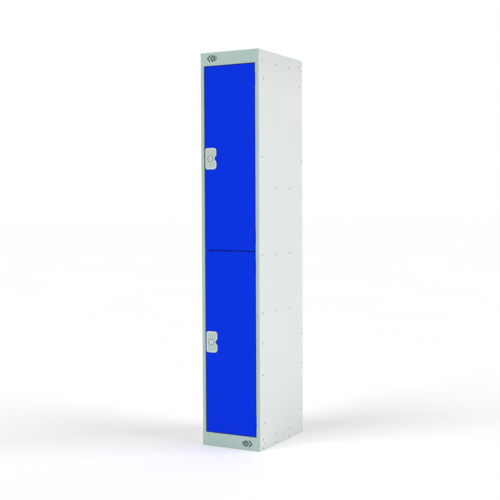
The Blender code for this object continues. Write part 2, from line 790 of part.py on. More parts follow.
def make_hinge(tier, level, z, door_axis):
    """A hinge: a frame leaf with two end knuckles, a door leaf with a long one, and the pin."""
    half = HINGE_LENGTH / 2
    inner = half - FRAME_KNUCKLE
    frame_spans = [(z - half, z - inner - GAP), (z + inner + GAP, z + half)]
    door_spans = [(z - inner, z + inner)]
    make_hinge_leaf(f"hinge_frame_leaf_{tier}_{level}", z, 1, frame_spans, "door_paint")
    make_hinge_leaf(f"hinge_door_leaf_{tier}_{level}", z, -1, door_spans, "door_paint", door_axis)
    head = half + GAP
    profile = [
        (0, head + PIN_DOME),
        (PIN_HEAD_RADIUS, head + PIN_CHAMFER),
        (PIN_HEAD_RADIUS, head),
        (PIN_RADIUS, head),
        (PIN_RADIUS, -half),
        (0, -half - PIN_TAIL),
    ]
    pin = turned(f"hinge_pin_{tier}_{level}", profile, (HINGE_X, HINGE_Y, z), (0, 0, 0), 12)
    finish_part(pin, "zinc_steel")


def make_door_skin(tier, axis):
    """The door's pan: a front sheet with returned edges and a lip round its open back."""
    low_z = DOOR_BOTTOMS[tier]
    high_z = low_z + DOOR_HEIGHT
    lock_z = low_z + DOOR_HEIGHT / 2
    skin = box(f"door_skin_{tier}", (DOOR_LEFT, FRONT, low_z), (DOOR_RIGHT, DOOR_BACK, high_z))
    soften(skin, DOOR_EDGE_RADIUS, 3)
    inside = box(
        f"door_inside_{tier}",
        (DOOR_LEFT + SHEET, FRONT + SHEET, low_z + SHEET),
        (DOOR_RIGHT - SHEET, DOOR_BACK - SHEET, high_z - SHEET),
    )
    cut(skin, inside)
    opening = box(
        f"door_back_opening_{tier}",
        (DOOR_LEFT + DOOR_LIP, FRONT + DOOR_THICKNESS / 2, low_z + DOOR_LIP),
        (DOOR_RIGHT - DOOR_LIP, DOOR_BACK + CUT_OVERSHOOT, high_z - DOOR_LIP),
    )
    cut(skin, opening)
    for level, z in hinge_levels(tier).items():
        cut(skin, hinge_notch(f"door_notch_{tier}_{level}", z, DOOR_RIGHT - DOOR_NOTCH, HINGE_X))
    centre = (LOCK_X, FRONT, lock_z)
    drill(skin, f"door_lock_hole_{tier}", HOUSING_RADIUS + GAP, centre, DRILL_DEPTH, "Y", 24)
    finish_part(skin, "door_paint", axis)


def make_door_stiffener(tier, axis):
    """The top-hat channel that stiffens the pan, bonded behind the front sheet."""
    foot = FRONT + SHEET + GAP + SHEET
    crown = DOOR_BACK - SHEET - SPRING_BACK
    path = [
        (STIFFENER_FOOT_HALF, foot),
        (STIFFENER_CROWN_HALF, foot),
        (STIFFENER_CROWN_HALF, crown),
        (-STIFFENER_CROWN_HALF, crown),
        (-STIFFENER_CROWN_HALF, foot),
        (-STIFFENER_FOOT_HALF, foot),
    ]
    inset = SHEET + GAP + DOOR_EDGE_RADIUS
    low_z = DOOR_BOTTOMS[tier] + inset
    high_z = DOOR_BOTTOMS[tier] + DOOR_HEIGHT - inset
    finish_part(folded(f"door_stiffener_{tier}", path, low_z, high_z, "Z"), "door_paint", axis)


def plate_outline(z, inset):
    """The lock plate's outline: straight at the left, with a rounded V notch in its right edge."""
    left = DOOR_LEFT + PLATE_EDGE_INSET + inset
    right = DOOR_LEFT + PLATE_EDGE_INSET + PLATE_WIDTH - inset * PLATE_RIGHT_SHRINK
    half = PLATE_HEIGHT / 2 - inset
    notch_half = PLATE_NOTCH_HALF + inset * PLATE_NOTCH_GROWTH
    corner = PLATE_CORNER - inset * PLATE_CORNER_SHRINK
    right_corner = corner * PLATE_RIGHT_CORNER
    return rounded_outline(
        [
            (left, z - half, corner),
            (right, z - half, right_corner),
            (right, z - notch_half, PLATE_NOTCH_SHOULDER),
            (right - PLATE_NOTCH_DEPTH, z, PLATE_NOTCH_TIP),
            (right, z + notch_half, PLATE_NOTCH_SHOULDER),
            (right, z + half, right_corner),
            (left, z + half, corner),
        ]
    )


def make_lock_plate(tier, axis):
    """The moulded plate round the lock, with a raised rim, a sunk field and a round dish."""
    z = DOOR_BOTTOMS[tier] + DOOR_HEIGHT / 2
    back = FRONT - GAP
    front = back - PLATE_THICKNESS
    plate = outline_solid(f"lock_plate_{tier}", plate_outline(z, 0), PLATE_THICKNESS, front)
    soften(plate, PLATE_EDGE_ROUND)
    field_front = front + PLATE_FIELD_DEPTH - PLATE_THICKNESS
    field = outline_solid(f"plate_field_{tier}", plate_outline(z, PLATE_RIM), PLATE_THICKNESS, field_front)
    cut(plate, field)
    dish_start = (LOCK_X, back - DISH_FLOOR - DRILL_DEPTH, z)
    cut(plate, round_bar(f"plate_dish_{tier}", LOCK_DISH_RADIUS, dish_start, DRILL_DEPTH, "Y"))
    centre = (LOCK_X, FRONT, z)
    drill(plate, f"plate_hole_{tier}", HOUSING_RADIUS + GAP, centre, DRILL_DEPTH, "Y", 24)
    finish_part(plate, "lock_plate", axis)


def make_lock_housing(tier, axis):
    """The fixed sleeve of the cam lock, with its flange in the plate's dish, and its nut."""
    z = DOOR_BOTTOMS[tier] + DOOR_HEIGHT / 2
    seat = FRONT - GAP - DISH_FLOOR - GAP
    face = seat - HOUSING_FLANGE
    rear = DOOR_BACK + HOUSING_TAIL
    bore = PLUG_RADIUS + GAP
    flange = HOUSING_FLANGE_RADIUS
    chamfer = HOUSING_CHAMFER
    profile = [
        (bore, FRONT - face),
        (flange - chamfer, FRONT - face),
        (flange, FRONT - face - chamfer),
        (flange, FRONT - seat),
        (HOUSING_RADIUS, FRONT - seat),
        (HOUSING_RADIUS, FRONT - rear + chamfer),
        (HOUSING_RADIUS - chamfer, FRONT - rear),
        (bore, FRONT - rear),
        (bore, FRONT - face),
    ]
    turn = (math.radians(90), 0, 0)
    housing = turned(f"lock_housing_{tier}", profile, (LOCK_X, FRONT, z), turn, 24)
    finish_part(housing, "bright_steel", axis)
    nut_front = FRONT + SHEET + GAP
    centre = (LOCK_X, nut_front, z)
    nut = round_bar(f"lock_nut_{tier}", NUT_RADIUS, centre, NUT_THICKNESS, "Y", 6)
    soften(nut, NUT_CHAMFER, 1)
    drill(nut, f"nut_bore_{tier}", HOUSING_RADIUS + GAP, centre, 3 * NUT_THICKNESS, "Y", 20)
    finish_part(nut, "zinc_steel", axis)


def make_lock(tier, axis):
    """The turning part of a cam lock: the plug with its keyway, the cam and the cam's screw."""
    z = DOOR_BOTTOMS[tier] + DOOR_HEIGHT / 2
    face = FRONT - GAP - PLATE_THICKNESS + PLUG_SUNK
    shoulder = DOOR_BACK + PLUG_SHOULDER
    cam_front = STOP_BACK + CAM_CLEARANCE
    cam_back = cam_front + CAM_THICKNESS
    tail_end = cam_back - GAP
    profile = [
        (0, FRONT - face),
        (PLUG_RADIUS - PLUG_CHAMFER, FRONT - face),
        (PLUG_RADIUS, FRONT - face - PLUG_CHAMFER),
        (PLUG_RADIUS, FRONT - shoulder),
        (PLUG_TAIL_RADIUS, FRONT - shoulder),
        (PLUG_TAIL_RADIUS, FRONT - tail_end),
        (0, FRONT - tail_end),
    ]
    turn = (math.radians(90), 0, 0)
    plug = turned(f"lock_plug_{tier}", profile, (LOCK_X, FRONT, z), turn, 24)
    keyway = box(
        f"keyway_{tier}",
        (LOCK_X - KEYWAY_HALF_WIDTH, face - CUT_OVERSHOOT, z - KEYWAY_HALF_HEIGHT),
        (LOCK_X + KEYWAY_HALF_WIDTH, face + KEYWAY_DEPTH, z + KEYWAY_HALF_HEIGHT),
    )
    cut(plug, keyway)
    hole_depth = 2 * (SCREW_LENGTH + 2 * CAM_THICKNESS)
    centre = (LOCK_X, tail_end, z)
    drill_small(plug, f"plug_screw_hole_{tier}", SCREW_HOLE, centre, "Y", hole_depth)
    finish_part(plug, "bright_steel", axis)
    make_cam(tier, axis, z, cam_front)
    make_cam_screw(tier, axis, z, tail_end, cam_back + GAP)


def make_cam(tier, axis, z, front):
    """The lock's cam: a rounded bar that points down at rest and turns behind the stop lip."""
    half = CAM_WIDTH / 2
    cam_outline = rounded_outline(
        [
            (LOCK_X - half, z - CAM_REACH, half * 0.5),
            (LOCK_X + half, z - CAM_REACH, half * 0.5),
            (LOCK_X + half, z + half, half * 0.95),
            (LOCK_X - half, z + half, half * 0.95),
        ]
    )
    cam = outline_solid(f"lock_cam_{tier}", cam_outline, CAM_THICKNESS, front)
    drill(cam, f"cam_hole_{tier}", PLUG_TAIL_RADIUS + GAP, (LOCK_X, front, z), DRILL_DEPTH, "Y", 16)
    finish_part(cam, "zinc_steel", axis)


def make_cam_screw(tier, axis, z, thread_start, head):
    """The slotted screw that holds the cam on the plug's tail."""
    shank = SCREW_HOLE - GAP
    tip = FRONT - thread_start + SCREW_LENGTH
    profile = [
        (0, tip),
        (shank, tip),
        (shank, FRONT - head),
        (SCREW_HEAD_RADIUS, FRONT - head),
        (SCREW_HEAD_RADIUS, FRONT - head - SCREW_HEAD_EDGE),
        (SCREW_HEAD_RADIUS - SCREW_HEAD_CHAMFER, FRONT - head - SCREW_HEAD_HEIGHT),
        (0, FRONT - head - SCREW_HEAD_HEIGHT),
    ]
    turn = (math.radians(90), 0, 0)
    screw = turned(f"cam_screw_{tier}", profile, (LOCK_X, FRONT, z), turn, 16)
    slot = box(
        f"screw_slot_{tier}",
        (LOCK_X - 2 * SCREW_HEAD_RADIUS, head + SCREW_SLOT_FLOOR, z - SCREW_SLOT_HALF_WIDTH),
        (LOCK_X + 2 * SCREW_HEAD_RADIUS, head + CUT_OVERSHOOT, z + SCREW_SLOT_HALF_WIDTH),
    )
    cut(screw, slot)
    finish_part(screw, "zinc_steel", axis)


def make_door(tier):
    """A door with its hinges, lock plate and lock, on empties at the hinge's and the lock's axis."""
    middle = DOOR_BOTTOMS[tier] + DOOR_HEIGHT / 2
    door_axis = add_axis(f"{tier}_door_axis", (HINGE_X, HINGE_Y, middle))
    lock_axis = add_axis(f"{tier}_lock_axis", (LOCK_X, FRONT, middle), door_axis)
    make_door_skin(tier, door_axis)
    make_door_stiffener(tier, door_axis)
    for level, z in hinge_levels(tier).items():
        make_hinge(tier, level, z, door_axis)
    make_lock_plate(tier, door_axis)
    make_lock_housing(tier, door_axis)
    make_lock(tier, lock_axis)
    make_door_buffers(tier)


clear_scene()
parts = make_collection("school_locker")
cutters = make_collection("cutters")
axis_places = {}
make_front_frame()
make_side_panels()
make_back_panel()
make_roof_panel()
make_base_panel()
make_divider_shelf()
make_shelf_rivets()
make_coat_hook("upper", HEIGHT - SHEET)
make_coat_hook("lower", SHELF_TOP - SHEET)
for door_tier in DOOR_BOTTOMS:
    make_door(door_tier)
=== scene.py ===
import json
import math

import bmesh
import bpy
from mathutils import Matrix, Vector


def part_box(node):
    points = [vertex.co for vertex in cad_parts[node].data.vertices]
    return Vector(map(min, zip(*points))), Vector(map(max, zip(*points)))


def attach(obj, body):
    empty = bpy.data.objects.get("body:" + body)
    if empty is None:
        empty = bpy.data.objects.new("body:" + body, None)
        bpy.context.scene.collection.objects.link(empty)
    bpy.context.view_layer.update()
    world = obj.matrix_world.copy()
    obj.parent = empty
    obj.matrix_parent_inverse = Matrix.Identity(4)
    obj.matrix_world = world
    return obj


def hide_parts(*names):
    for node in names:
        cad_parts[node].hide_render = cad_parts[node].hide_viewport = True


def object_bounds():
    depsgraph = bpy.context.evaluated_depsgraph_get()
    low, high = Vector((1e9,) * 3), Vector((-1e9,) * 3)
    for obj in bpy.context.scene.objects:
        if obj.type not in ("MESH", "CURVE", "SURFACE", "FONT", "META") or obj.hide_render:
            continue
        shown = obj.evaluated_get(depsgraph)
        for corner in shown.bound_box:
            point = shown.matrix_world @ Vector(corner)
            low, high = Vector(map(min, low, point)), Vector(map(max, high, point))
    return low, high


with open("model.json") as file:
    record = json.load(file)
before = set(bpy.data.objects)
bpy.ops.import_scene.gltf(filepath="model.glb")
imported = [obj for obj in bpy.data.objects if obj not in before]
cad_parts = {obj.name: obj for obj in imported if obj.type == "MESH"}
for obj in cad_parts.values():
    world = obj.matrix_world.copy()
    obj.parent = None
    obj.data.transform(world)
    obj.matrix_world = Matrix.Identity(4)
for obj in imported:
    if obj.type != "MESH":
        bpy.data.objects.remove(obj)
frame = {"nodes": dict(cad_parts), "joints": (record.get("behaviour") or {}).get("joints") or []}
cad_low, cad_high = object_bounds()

TIERS = ("upper", "lower")
SIDES = {"left": -1, "right": 1}
joints = {joint["name"]: joint for joint in frame["joints"]}

# Sheet metal, in metres
SHEET = 0.001
FOLD_RADIUS = 0.0015
FOLD_STEPS = 8
CLEARANCE = 0.0003
OVERSHOOT = 0.005
DOOR_EDGE_RADIUS = 0.0012
DOOR_EDGE_STEPS = 6
DOOR_LIP = 0.012
STOP_CLEARANCE = 0.0035
SIDE_STOP = 0.012
RAIL_STOP = 0.008
RIVET_HOLE = 0.0020
BUFFER_HOLE = 0.0027
BUFFER_NOSE_ROUND = 0.0008
BUFFER_ROUND = 0.0004
BUFFER_BARB_ROUND = 0.0002
BACK_FLANGE = 0.018

# The vents in the two rails: two chevron slots, then a rose of round holes
VENT_HEIGHT = 0.030
VENT_ARM = 0.014
VENT_SLOT = 0.0052
VENT_PITCH = 0.0158
VENT_CORNER = 0.0006
VENT_HOLE_RADIUS = 0.0035
VENT_HOLE_PITCH = 0.0086
VENT_ROSE_GAP = 0.2
VENT_FROM_SIDE = {"top": 0.035, "bottom": 0.039}
VENT_FROM_END = {"top": 0.028, "bottom": 0.030}

# Hinges
NOTCH_ROOM = 0.003
NOTCH_DEPTH = 0.0031
FRAME_NOTCH = 0.0017
DOOR_NOTCH = 0.0016
KNUCKLE_RADIUS = 0.0025
KNUCKLE_BORE = 0.0016
KNUCKLE_STEPS = 40
FRAME_KNUCKLE = 0.009
LEAF_THICKNESS = 0.0009
PIN_RADIUS = 0.0013
PIN_HEAD_RADIUS = 0.0022
PIN_CROWN = 0.0004
PIN_ROUND = 0.0002
PIN_TAIL_ROUND = 0.0003
NECK_INSET = 0.0001
LEAF_EDGE = 0.00022

# Lock plates and locks
PLATE_RIM = 0.0075
PLATE_FIELD_DEPTH = 0.0012
PLATE_EDGE_ROUND = 0.0009
PLATE_CORNER = 0.0100
PLATE_RIGHT_CORNER = 1.40
PLATE_CORNER_SHRINK = 0.45
PLATE_RIGHT_SHRINK = 0.7
PLATE_NOTCH_HALF = 0.0155
PLATE_NOTCH_GROWTH = 0.15
PLATE_NOTCH_DEPTH = 0.0122
PLATE_NOTCH_SHOULDER = 0.0065
PLATE_NOTCH_TIP = 0.0035
DISH_RADIUS = 0.0140
DISH_FLOOR = 0.0010
HOUSING_RADIUS = 0.0092
PLUG_RADIUS = 0.0063
PLUG_TAIL_RADIUS = 0.0032
KEYWAY_HALF_WIDTH = 0.0016
KEYWAY_HALF_HEIGHT = 0.0043
KEYWAY_DEPTH = 0.007
KEYWAY_CORNER = 0.0004
KEYWAY_WARD_CORNER = 0.0002
PLUG_SHOULDER = 0.0040
PLUG_FACE_ROUND = 0.0007
PLUG_ROUND = 0.0003
FLANGE_SLOPE = 0.0022
FLANGE_DROP = 0.0008
HOUSING_BORE_ROUND = 0.0002
HOUSING_SLOPE_ROUND = 0.0004
HOUSING_RIM_ROUND = 0.0003
HOUSING_SEAT_ROUND = 0.0001
HOUSING_END_ROUND = 0.0006

# Rivets: a domed head outside, with the dimple of its mandrel, and a swelled tail inside
RIVET_RADIUS = 0.0032
RIVET_SHANK = 0.0016
RIVET_DIMPLE = 0.0009
RIVET_DIMPLE_DEPTH = 0.0005
RIVET_TAIL = 0.0021
RIVET_ROWS = {
    "roof": (1.749, (-0.190, -0.057, 0.076, 0.216)),
    "upper_back": (1.323, (-0.190, 0.216)),
    "upper_spare": (1.184, (-0.056, 0.080)),
    "lower_spare": (0.622, (-0.188, -0.057, 0.079)),
    "middle_back": (0.483, (-0.189, 0.218)),
    "lower_back": (0.340, (-0.190, 0.218)),
    "base": (0.049, (-0.191, -0.062, 0.077)),
    "ground": (0.010, (-0.192, -0.062, 0.074, 0.216)),
}
BACKED_ROWS = ("roof", "base", "ground")

# Coat hooks
HOOK_STRIP = 0.002
HOOK_BRIDGE = 0.018
HOOK_BEND_STEPS = 20
HOOK_EDGE = 0.0005
HOOK_TIP_RISE = 0.012
HOOK_CORNER = 0.0025
HOOK_CORNER_STEPS = 6
HOOK_END_SHARE = 0.55

# The view: the camera's place round the locker, its aim and its lens
VIEW_AZIMUTH = math.radians(28.387)
VIEW_ELEVATION = math.radians(2.397)
VIEW_ROLL = math.radians(-0.257)
VIEW_DISTANCE = 4.661
VIEW_AIM = Vector((0.0, -0.034, 0.898))
VIEW_LENS = 71.47

# Studio
FLOOR_RADIUS = 90.0
SKY_SEEN = 1.0
SKY_LIGHT = 0.50
SUNS = {
    "key": {"azimuth": -28, "elevation": 50, "strength": 1.08, "spread": 34},
    "side": {"azimuth": 104, "elevation": 46, "strength": 1.12, "spread": 40},
}


def srgb(red, green, blue):
    """A linear colour from its screen values."""
    linear = []
    for value in (red, green, blue):
        share = value / 255
        linear.append(share / 12.92 if share <= 0.04045 else ((share + 0.055) / 1.055) ** 2.4)
    return (*linear, 1.0)


def scaled(colour, factor):
    return (*(min(1.0, value * factor) for value in colour[:3]), 1.0)


# ---------------------------------------------------------------- materials


def add_node(tree, kind, inputs=None, **settings):
    """A shader node with its settings. Each input is a value or another node's output."""
    made = tree.nodes.new(kind)
    for name, value in settings.items():
        setattr(made, name, value)
    for name, value in (inputs or {}).items():
        if isinstance(value, bpy.types.NodeSocket):
            tree.links.new(value, made.inputs[name])
        else:
            made.inputs[name].default_value = value
    return made


def new_material(name, roughness, metallic=0.0, specular=0.5):
    material = bpy.data.materials.new(name)
    material.use_nodes = True
    shader = material.node_tree.nodes["Principled BSDF"]
    shader.inputs["Roughness"].default_value = roughness
    shader.inputs["Metallic"].default_value = metallic
    shader.inputs["Specular IOR Level"].default_value = specular
    return material, material.node_tree, shader


def place_of(tree, stretch=(1, 1, 1), shift=(0, 0, 0)):
    """The point on the object, in metres, stretched along its axes."""
    where = add_node(tree, "ShaderNodeTexCoord").outputs["Object"]
    mapping = add_node(tree, "ShaderNodeMapping", {"Vector": where, "Scale": stretch, "Location": shift})
    return mapping.outputs["Vector"]


def noise(tree, place, scale, detail=2.0, roughness=0.5):
    inputs = {"Vector": place, "Scale": scale, "Detail": detail, "Roughness": roughness}
    return add_node(tree, "ShaderNodeTexNoise", inputs).outputs["Fac"]


def remap(tree, value, low, high, to_low=0.0, to_high=1.0):
    inputs = {"Value": value, "From Min": low, "From Max": high, "To Min": to_low, "To Max": to_high}
    return add_node(tree, "ShaderNodeMapRange", inputs, clamp=True).outputs["Result"]


def maths(tree, operation, first, second=0.5):
    made = add_node(tree, "ShaderNodeMath", operation=operation)
    for at, value in enumerate((first, second)):
        if isinstance(value, bpy.types.NodeSocket):
            tree.links.new(value, made.inputs[at])
        else:
            made.inputs[at].default_value = value
    return made.outputs[0]


def blend_colour(tree, share, first, second):
    """The first colour at share 0 and the second at share 1."""
    inputs = {"Fac": share, "Color1": first, "Color2": second}
    return add_node(tree, "ShaderNodeMixRGB", inputs).outputs["Color"]


def bump(tree, height, depth, normal=None):
    """A relief of some metres' depth, on top of another one where it is given."""
    inputs = {"Height": height, "Strength": 1.0, "Distance": depth}
    if normal is not None:
        inputs["Normal"] = normal
    return add_node(tree, "ShaderNodeBump", inputs).outputs["Normal"]


def soft_edges(tree, radius):
    """A normal that is rounded at the edges, and a mask that is 1 on them and 0 on flat faces."""
    rounded = add_node(tree, "ShaderNodeBevel", {"Radius": radius}, samples=6).outputs["Normal"]
    flat = add_node(tree, "ShaderNodeNewGeometry").outputs["Normal"]
    lean = add_node(tree, "ShaderNodeVectorMath", operation="DOT_PRODUCT")
    tree.links.new(rounded, lean.inputs[0])
    tree.links.new(flat, lean.inputs[1])
    return rounded, remap(tree, lean.outputs["Value"], 0.995, 0.80)


def painted_gap_shade(tree, reach):
    """A mask for painted shade, from ambient occlusion: 1 deep in narrow gaps and 0 on open faces."""
    cover = add_node(tree, "ShaderNodeAmbientOcclusion", {"Distance": reach}, samples=6)
    return remap(tree, cover.outputs["AO"], 0.12, 0.50, 1.0, 0.0)


def powder_coat(name, colour, roughness, specular, rubbed, mottle=0.03, dust=0.06, height_shade_share=0.3):
    """Sprayed powder: faint mottling, orange peel, uneven gloss, rubbed edges that are partly a painted
    highlight, dust at the foot, painted shade towards the foot and the top, and painted shade deep in narrow
    gaps.
    """
    material, tree, shader = new_material(name, roughness, specular=specular)
    place = place_of(tree)
    normal, edges = soft_edges(tree, 0.0009)

    cloud = noise(tree, place, 4.5, 3.0)
    speckle = noise(tree, place, 1100.0, 1.0)
    shade = remap(tree, cloud, 0.3, 0.7)
    paint = blend_colour(tree, shade, scaled(colour, 1 - mottle), scaled(colour, 1 + mottle))
    grain = remap(tree, speckle, 0.35, 0.65)
    paint = blend_colour(tree, maths(tree, "MULTIPLY", grain, 0.25), paint, scaled(colour, 1 + 2 * mottle))

    # Rubbed edges, partly wear and partly a painted highlight: the edges turn lighter in patches.
    patches = remap(tree, noise(tree, place, 38.0, 3.0), 0.42, 0.66)
    rub_and_highlight = maths(tree, "MULTIPLY", maths(tree, "MULTIPLY", edges, patches), 0.55)
    paint = blend_colour(tree, rub_and_highlight, paint, rubbed)
    chips = remap(tree, noise(tree, place, 210.0, 2.0), 0.735, 0.755)
    chip = maths(tree, "MULTIPLY", edges, chips)
    paint = blend_colour(tree, chip, paint, srgb(120, 122, 120))

    height = add_node(tree, "ShaderNodeSeparateXYZ", {"Vector": place}).outputs["Z"]
    low = remap(tree, height, 0.0, 0.10, 1.0, 0.0)
    scuff = remap(tree, noise(tree, place_of(tree, (14, 14, 3)), 5.0, 4.0), 0.35, 0.75)
    dirt = maths(tree, "MULTIPLY", maths(tree, "MULTIPLY", low, scuff), dust)
    paint = blend_colour(tree, dirt, paint, srgb(118, 112, 100))
    # Painted shade: the paint darkens towards the foot and the top, by a share given for each finish.
    foot = remap(tree, height, 0.0, 0.32, 1.0, 0.0)
    head = remap(tree, height, 1.62, 1.80)
    height_shade = maths(tree, "MAXIMUM", foot, head)
    paint = blend_colour(tree, maths(tree, "MULTIPLY", height_shade, height_shade_share), paint, scaled(colour, 0.88))
    # Painted shade: deep in narrow gaps the paint turns nearly black.
    paint = blend_colour(tree, painted_gap_shade(tree, 0.010), paint, scaled(colour, 0.08))
    tree.links.new(paint, shader.inputs["Base Color"])

    gloss = remap(tree, noise(tree, place, 9.0, 4.0), 0.3, 0.7, roughness - 0.05, roughness + 0.05)
    hairs = remap(tree, noise(tree, place_of(tree, (260, 260, 9)), 1.0, 2.0), 0.62, 0.72, 0.0, 0.08)
    gloss = maths(tree, "ADD", gloss, hairs)
    gloss = maths(tree, "ADD", gloss, maths(tree, "MULTIPLY", chip, 0.2))
    tree.links.new(gloss, shader.inputs["Roughness"])

    waves = bump(tree, noise(tree, place, 5.0, 1.0), 0.0007, normal)
    peel = maths(tree, "ADD", noise(tree, place, 420.0, 1.0), noise(tree, place, 950.0, 1.0))
    relief = bump(tree, peel, 0.000022, waves)
    relief = bump(tree, maths(tree, "MULTIPLY", chip, -1.0), 0.00008, relief)
    tree.links.new(relief, shader.inputs["Normal"])
    return material


def moulded_plastic(name, field, rim, dish, plate_low):
    """Injection-moulded plastic with a fine texture, a painted highlight on the raised rim and in patches
    along the edges, and painted shade in the dish.
    """
    material, tree, shader = new_material(name, 0.5, specular=0.35)
    place = place_of(tree)
    normal, edges = soft_edges(tree, 0.0006)
    depth = add_node(tree, "ShaderNodeSeparateXYZ", {"Vector": place}).outputs["Y"]
    field_y = plate_low.y + PLATE_FIELD_DEPTH
    # Painted highlight on the raised rim and painted shade in the sunk dish, set by depth.
    raised = remap(tree, depth, plate_low.y + 0.0001, field_y - 0.0001, 1.0, 0.0)
    sunk = remap(tree, depth, field_y + 0.0001, field_y + 0.0009)
    cloud = remap(tree, noise(tree, place, 60.0, 3.0), 0.3, 0.7)
    colour = blend_colour(tree, cloud, scaled(field, 0.97), scaled(field, 1.03))
    colour = blend_colour(tree, raised, colour, rim)
    colour = blend_colour(tree, sunk, colour, dish)
    # Painted highlight: lighter patches along the edges.
    patches = remap(tree, noise(tree, place, 240.0, 3.0), 0.45, 0.65, 0.0, 0.5)
    colour = blend_colour(tree, maths(tree, "MULTIPLY", edges, patches), colour, scaled(rim, 1.15))
    tree.links.new(colour, shader.inputs["Base Color"])
    gloss = remap(tree, noise(tree, place, 130.0, 3.0), 0.3, 0.7, 0.42, 0.56)
    tree.links.new(gloss, shader.inputs["Roughness"])
    cells = add_node(tree, "ShaderNodeTexVoronoi", {"Vector": place, "Scale": 1900.0})
    relief = bump(tree, cells.outputs["Distance"], 0.00003, normal)
    tree.links.new(relief, shader.inputs["Normal"])
    return material


def turned_chrome(name, centre):
    """Plated metal with the fine rings that turning leaves round the lock's axis, and painted shade in its
    narrow gaps.
    """
    material, tree, shader = new_material(name, 0.24, metallic=0.45)
    place = place_of(tree)
    offset = add_node(tree, "ShaderNodeVectorMath", {0: place, 1: tuple(centre)}, operation="SUBTRACT")
    flat = add_node(
        tree, "ShaderNodeVectorMath", {0: offset.outputs[0], 1: (1, 0, 1)}, operation="MULTIPLY"
    )
    distance = add_node(tree, "ShaderNodeVectorMath", {0: flat.outputs[0]}, operation="LENGTH")
    rings = maths(tree, "SINE", maths(tree, "MULTIPLY", distance.outputs["Value"], 2 * math.pi / 0.00035))
    normal, edges = soft_edges(tree, 0.0005)
    tarnish = remap(tree, noise(tree, place, 330.0, 4.0), 0.35, 0.7)
    colour = blend_colour(tree, tarnish, srgb(244, 249, 246), srgb(222, 229, 225))
    colour = blend_colour(tree, maths(tree, "MULTIPLY", edges, 0.4), colour, srgb(250, 252, 250))
    # Painted shade: deep in narrow gaps the plating turns nearly black.
    colour = blend_colour(tree, painted_gap_shade(tree, 0.006), colour, srgb(14, 15, 15))
    tree.links.new(colour, shader.inputs["Base Color"])
    gloss = remap(tree, noise(tree, place, 520.0, 3.0), 0.3, 0.7, 0.20, 0.34)
    tree.links.new(gloss, shader.inputs["Roughness"])
    tree.links.new(bump(tree, rings, 0.000003, normal), shader.inputs["Normal"])
    return material


def zinc_plate(name, light, dark, roughness):
    """Zinc-plated steel: a clouded spangle, fine drawing lines and brighter rubbed edges."""
    material, tree, shader = new_material(name, roughness, metallic=1.0)
    place = place_of(tree)
    normal, edges = soft_edges(tree, 0.0004)
    cells = add_node(tree, "ShaderNodeTexVoronoi", {"Vector": place, "Scale": 320.0})
    spangle = add_node(tree, "ShaderNodeSeparateColor", {"Color": cells.outputs["Color"]}).outputs["Red"]
    cloud = remap(tree, noise(tree, place, 90.0, 4.0), 0.3, 0.7)
    share = maths(tree, "ADD", maths(tree, "MULTIPLY", spangle, 0.35), maths(tree, "MULTIPLY", cloud, 0.6))
    colour = blend_colour(tree, share, light, dark)
    colour = blend_colour(tree, maths(tree, "MULTIPLY", edges, 0.5), colour, scaled(light, 1.25))
    tree.links.new(colour, shader.inputs["Base Color"])
    gloss = remap(tree, cloud, 0.0, 1.0, roughness - 0.06, roughness + 0.1)
    tree.links.new(gloss, shader.inputs["Roughness"])
    lines = noise(tree, place_of(tree, (900, 900, 60)), 1.0, 2.0)
    tree.links.new(bump(tree, lines, 0.00001, normal), shader.inputs["Normal"])
    return material


def black_rubber(name):
    """Moulded rubber with a dry bloom on it."""
    material, tree, shader = new_material(name, 0.8, specular=0.3)
    place = place_of(tree)
    normal, edges = soft_edges(tree, 0.0004)
    bloom = remap(tree, noise(tree, place, 420.0, 4.0), 0.4, 0.75)
    colour = blend_colour(tree, bloom, srgb(34, 34, 35), srgb(62, 62, 62))
    colour = blend_colour(tree, maths(tree, "MULTIPLY", edges, 0.4), colour, srgb(80, 80, 79))
    tree.links.new(colour, shader.inputs["Base Color"])
    tree.links.new(remap(tree, bloom, 0.0, 1.0, 0.68, 0.88), shader.inputs["Roughness"])
    tree.links.new(bump(tree, noise(tree, place, 2200.0, 2.0), 0.00004, normal), shader.inputs["Normal"])
    return material


def studio_floor(name):
    """Pale seamless floor with a barely uneven tone."""
    material, tree, shader = new_material(name, 0.9, specular=0.1)
    place = place_of(tree)
    cloud = remap(tree, noise(tree, place, 0.8, 2.0), 0.3, 0.7)
    colour = blend_colour(tree, cloud, srgb(253, 253, 253), srgb(255, 255, 255))
    tree.links.new(colour, shader.inputs["Base Color"])
    return material


